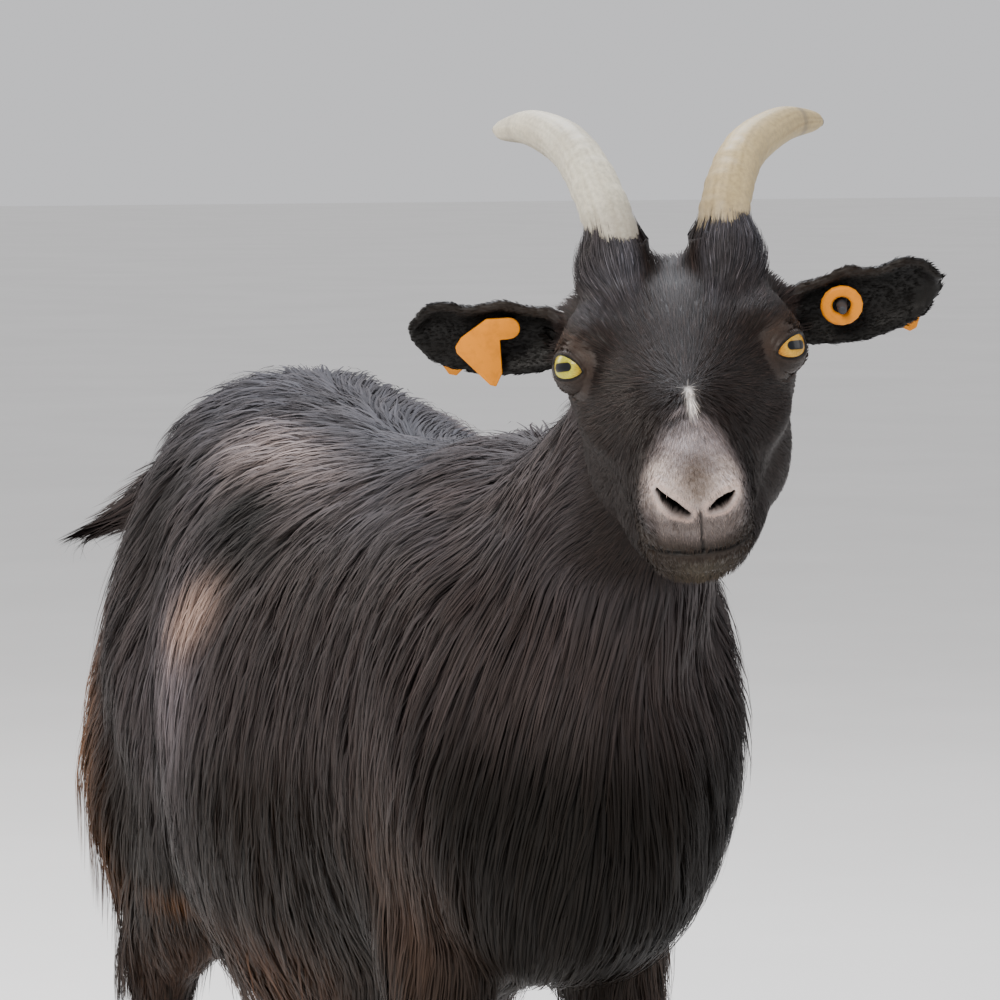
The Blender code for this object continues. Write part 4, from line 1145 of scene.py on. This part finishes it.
HORN = np.array((  # left, forward, up, half width, half depth, in the head
    (0.0270, -0.046, 0.056, 0.0130, 0.0165),
    (0.0296, -0.052, 0.077, 0.0136, 0.0172),
    (0.0338, -0.062, 0.091, 0.0134, 0.0165),
    (0.0400, -0.077, 0.103, 0.0128, 0.0151),
    (0.0476, -0.095, 0.110, 0.0119, 0.0137),
    (0.0573, -0.115, 0.111, 0.0110, 0.0122),
    (0.0710, -0.137, 0.109, 0.0092, 0.0099),
    (0.0860, -0.154, 0.102, 0.0056, 0.0060),
    (0.0910, -0.159, 0.099, 0.0024, 0.0025),
))
HORN_PALE = np.array((0.520, 0.490, 0.395))
HORN_YELLOW = np.array((0.450, 0.350, 0.180))
HORN_DARK = np.array((0.105, 0.090, 0.080))
HORN_SIDES = {  # how far it rises, lift of the tip, bow, hue, and shares: yellow end, dark ring, dark tip
    "left": (0.87, -0.001, -0.0025, HORN_YELLOW, 1.0, 0.55, 0.85),
    "right": (1.07, 0.005, 0.0, HORN_PALE * 1.12, 0.4, 0.25, 0.25),
}


def curve_rows(rows, steps):
    """A Catmull-Rom curve through the rows."""
    ends = np.concatenate([[2 * rows[0] - rows[1]], rows, [2 * rows[-1] - rows[-2]]])
    made = []
    for p, a, b, q in zip(ends, ends[1:], ends[2:], ends[3:]):
        square, cube = 2 * p - 5 * a + 4 * b - q, 3 * a - p - 3 * b + q
        for t in np.arange(steps) / steps:
            made.append(0.5 * (2 * a + (b - p) * t + square * t**2 + cube * t**3))
    return np.array([*made, rows[-1]])


def horns(material, ring=40, steps=14):
    """Curved tapering horns with shallow rings and grain, each of its own hue."""
    for name, side in SIDES:
        rises, tip_lift, bow, pale, yellow_end, dark_ring, dark_tip = HORN_SIDES[name]
        table = HORN.copy()
        reach = np.arange(len(table)) / (len(table) - 1)
        table[:, 2] = table[0, 2] + (table[:, 2] - table[0, 2]) * rises + tip_lift * reach**4
        table[:, 0] = side * (table[:, 0] + bow * np.sin(math.pi * reach) ** 2)
        rows = curve_rows(table, steps)
        middle = rows[:, :3]
        ahead = unit(np.gradient(middle, axis=0))
        across = unit(np.array((1.0, 0, 0)) - ahead * ahead[:, :1])
        rise = np.cross(across, ahead)
        count = len(rows)
        share = np.linspace(0, 1, count)[:, None]
        angle = 2 * math.pi * np.arange(ring)[None, :] / ring
        ripple = 0.020 * np.sin(share * 62 + 0.8 * np.sin(angle * 2)) * smooth(0.75, 0.2, share)
        ripple = ripple + 0.012 * np.sin(share * 131 + angle) * smooth(0.9, 0.3, share)
        keel = 0.05 * np.cos(2 * angle + 0.6) * (1 - share)
        size = (1 + ripple + keel)[:, :, None]
        wide = across[:, None] * (rows[:, 3:4] * np.cos(angle))[:, :, None]
        deep = rise[:, None] * (rows[:, 4:5] * np.sin(angle))[:, :, None]
        points = middle[:, None] + (wide + deep) * size
        points = points.reshape(-1, 3)
        faces = []
        for i in range(count - 1):
            for k in range(ring):
                a, b = i * ring + k, i * ring + (k + 1) % ring
                faces.append((a, b, b + ring, a + ring))
        faces.append(tuple(range(ring))[::-1])
        faces.append(tuple(range((count - 1) * ring, count * ring)))
        mesh = bpy.data.meshes.new(f"horn_{name}_shown")
        mesh.from_pydata(out_of_head(points).tolist(), [], faces)
        bm = bmesh.new()
        bm.from_mesh(mesh)
        bmesh.ops.recalc_face_normals(bm, faces=bm.faces)
        bm.to_mesh(mesh)
        bm.free()
        mesh.shade_smooth()
        along = np.repeat(share[:, 0], ring)
        round_ = np.tile(angle[0], count)
        paint = Paint(pale)
        paint.over(pale * (0.72, 0.70, 0.68), 0.7 * np.clip(0.5 + 0.7 * waves(points, 130, 21), 0, 1))
        paint.over(HORN_YELLOW * 0.85, 0.45 * smooth(0.45, 0.8, along) * yellow_end)
        paint.over(HORN_DARK, bell(along - 0.80, 0.012) * dark_ring)
        paint.over(HORN_DARK, smooth(0.965, 0.995, along) * dark_tip)
        paint.over(HORN_DARK * 2.0, 0.35 * smooth(0.26, 0.14, along))
        fibre = 0.5 + 0.22 * np.sin(round_ * 23 + 1.5 * np.sin(along * 9))
        fibre = fibre + 0.16 * np.sin(round_ * 41 + along * 5)
        fibre = fibre + 0.25 * waves(columns(np.cos(round_), np.sin(round_), along * 0.8) * 0.02, 900, 22)
        attribute(mesh, "coat", paint.colour)
        attribute(mesh, "grain", np.clip(fibre, 0, 1))
        piece(add(f"horn_{name}_shown", mesh, material), "horn", f"horn_{name}")


def rounded_copy(node, material, slot, width, segments=2, levels=0, only_sharp=30):
    """A node's shape with its edges rounded, in its place."""
    label = node + "_shown"
    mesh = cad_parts[node].data.copy()
    bm = bmesh.new()
    bm.from_mesh(mesh)
    bmesh.ops.remove_doubles(bm, verts=bm.verts, dist=1e-6)
    bmesh.ops.dissolve_limit(bm, angle_limit=math.radians(3), verts=bm.verts, edges=bm.edges)
    bm.to_mesh(mesh)
    bm.free()
    ob = add(label, mesh, material)
    bevel = ob.modifiers.new("bevel", "BEVEL")
    bevel.width = width
    bevel.segments = segments
    bevel.limit_method = "ANGLE"
    bevel.angle_limit = math.radians(only_sharp)
    if levels:
        rounding = ob.modifiers.new("round", "SUBSURF")
        rounding.levels = rounding.render_levels = levels
    made = realised(ob, label)
    made.shade_smooth()
    piece(add(label, made, material), slot, node)


# ---- floor and light
def studio():
    """A pale floor, an even sky and four lamps."""
    n = Nodes("floor")
    n.look(n.ramp(n.noise(2.0), (0.3, (0.84, 0.83, 0.81)), (0.7, (0.89, 0.88, 0.86))))
    n.set(Roughness=0.85)
    bm = bmesh.new()
    bmesh.ops.create_grid(bm, x_segments=2, y_segments=2, size=30)
    add("floor", mesh_of(bm, "floor"), n.material)
    world = bpy.data.worlds.new("world")
    bpy.context.scene.world = world
    world.use_nodes = True
    background = world.node_tree.nodes["Background"]
    background.inputs["Color"].default_value = (0.95, 0.95, 0.98, 1)
    background.inputs["Strength"].default_value = 0.80
    for name, place, size, power, tint in (
        ("key", (-2.1, -2.4, 2.4), 1.3, 120, (1.0, 0.95, 0.88)),
        ("fill", (2.4, -1.6, 1.4), 1.6, 18, (1.0, 0.98, 0.96)),
        ("top", (0.2, 0.9, 2.6), 1.4, 80, (0.90, 0.93, 1.0)),
        ("rim", (-2.2, 2.2, 1.9), 1.2, 55, (1.0, 0.93, 0.85)),
    ):
        data = bpy.data.lights.new(name, "AREA")
        data.size = size
        data.energy = power
        data.color = tint
        ob = add(name, data)
        ob.location = place
        aim(ob, Vector((0, 0, 0.5)) - Vector(place))


# ---- the goat
def unwrap(ob):
    """An unwrap of the skin's own shape, named OFBake."""
    ob.data.uv_layers.new(name="OFBake")
    bpy.context.view_layer.objects.active = ob
    ob.select_set(True)
    bpy.ops.object.mode_set(mode="EDIT")
    bpy.ops.mesh.select_all(action="SELECT")
    bpy.ops.uv.smart_project(angle_limit=math.radians(66), island_margin=0.002)
    bpy.ops.object.mode_set(mode="OBJECT")
    ob.select_set(False)


def goat():
    """The skin and the coats laid over it."""
    hull = hull_mesh()
    low, high = cad_box
    margin = Vector((0.02, 0.02, 0.02))
    top = 0.70  # where the grid over the body ends
    body_field = Field(surface_tree(hull), low - margin, (high.x + 0.02, high.y + 0.02, top), BODY_PITCH)
    head_low, head_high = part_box("head")
    reach = Vector((0.06, 0.02, 0.03))
    horned = joined_nodes((*FLESH, "horn_left", "horn_right"))
    head_field = Field(surface_tree(horned), head_low - reach, head_high + reach, HEAD_PITCH)
    bpy.data.meshes.remove(horned)
    mesh = skin_mesh(hull)
    base = in_head(vertices_of(mesh))
    attribute(mesh, "coat", skin_colour(vertices_of(mesh), base))
    mesh.shade_smooth()
    skin = add("skin", mesh, skin_material())
    unwrap(skin)
    piece(skin, "coat", *FLESH)
    sampler = Sampler(mesh)
    long_coat(sampler, body_field, coat_material("coat_long", 0.85, 0.15))
    short_coat(sampler, head_field, coat_material("coat_short", 0.85, 0.14))
    leg_coat(sampler, body_field, coat_material("coat_legs", 0.75, 0.14))
    bpy.data.meshes.remove(hull)


camera()
studio()
goat()
eyes(eye_material())
horns(horn_material())
hoof = hoof_material()
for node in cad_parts:
    if node.startswith("claw"):
        rounded_copy(node, hoof, "hoof", 0.0016)
    elif node.startswith("dewclaw"):
        rounded_copy(node, hoof, "hoof", 0.0003, 1, 2, 80)
orange = plastic("tag_plastic", (0.70, 0.230, 0.0), (0.42, 0.13, 0.0), 0.45)
dark = plastic("pin_plastic", (0.035, 0.036, 0.042), (0.09, 0.08, 0.07), 0.40)
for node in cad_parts:
    if node.startswith("tag") and node.endswith(("back", "flag", "button")):
        rounded_copy(node, orange, "tag", 0.0005)
    elif node.startswith("tag"):
        rounded_copy(node, dark, "pin", 0.0006)
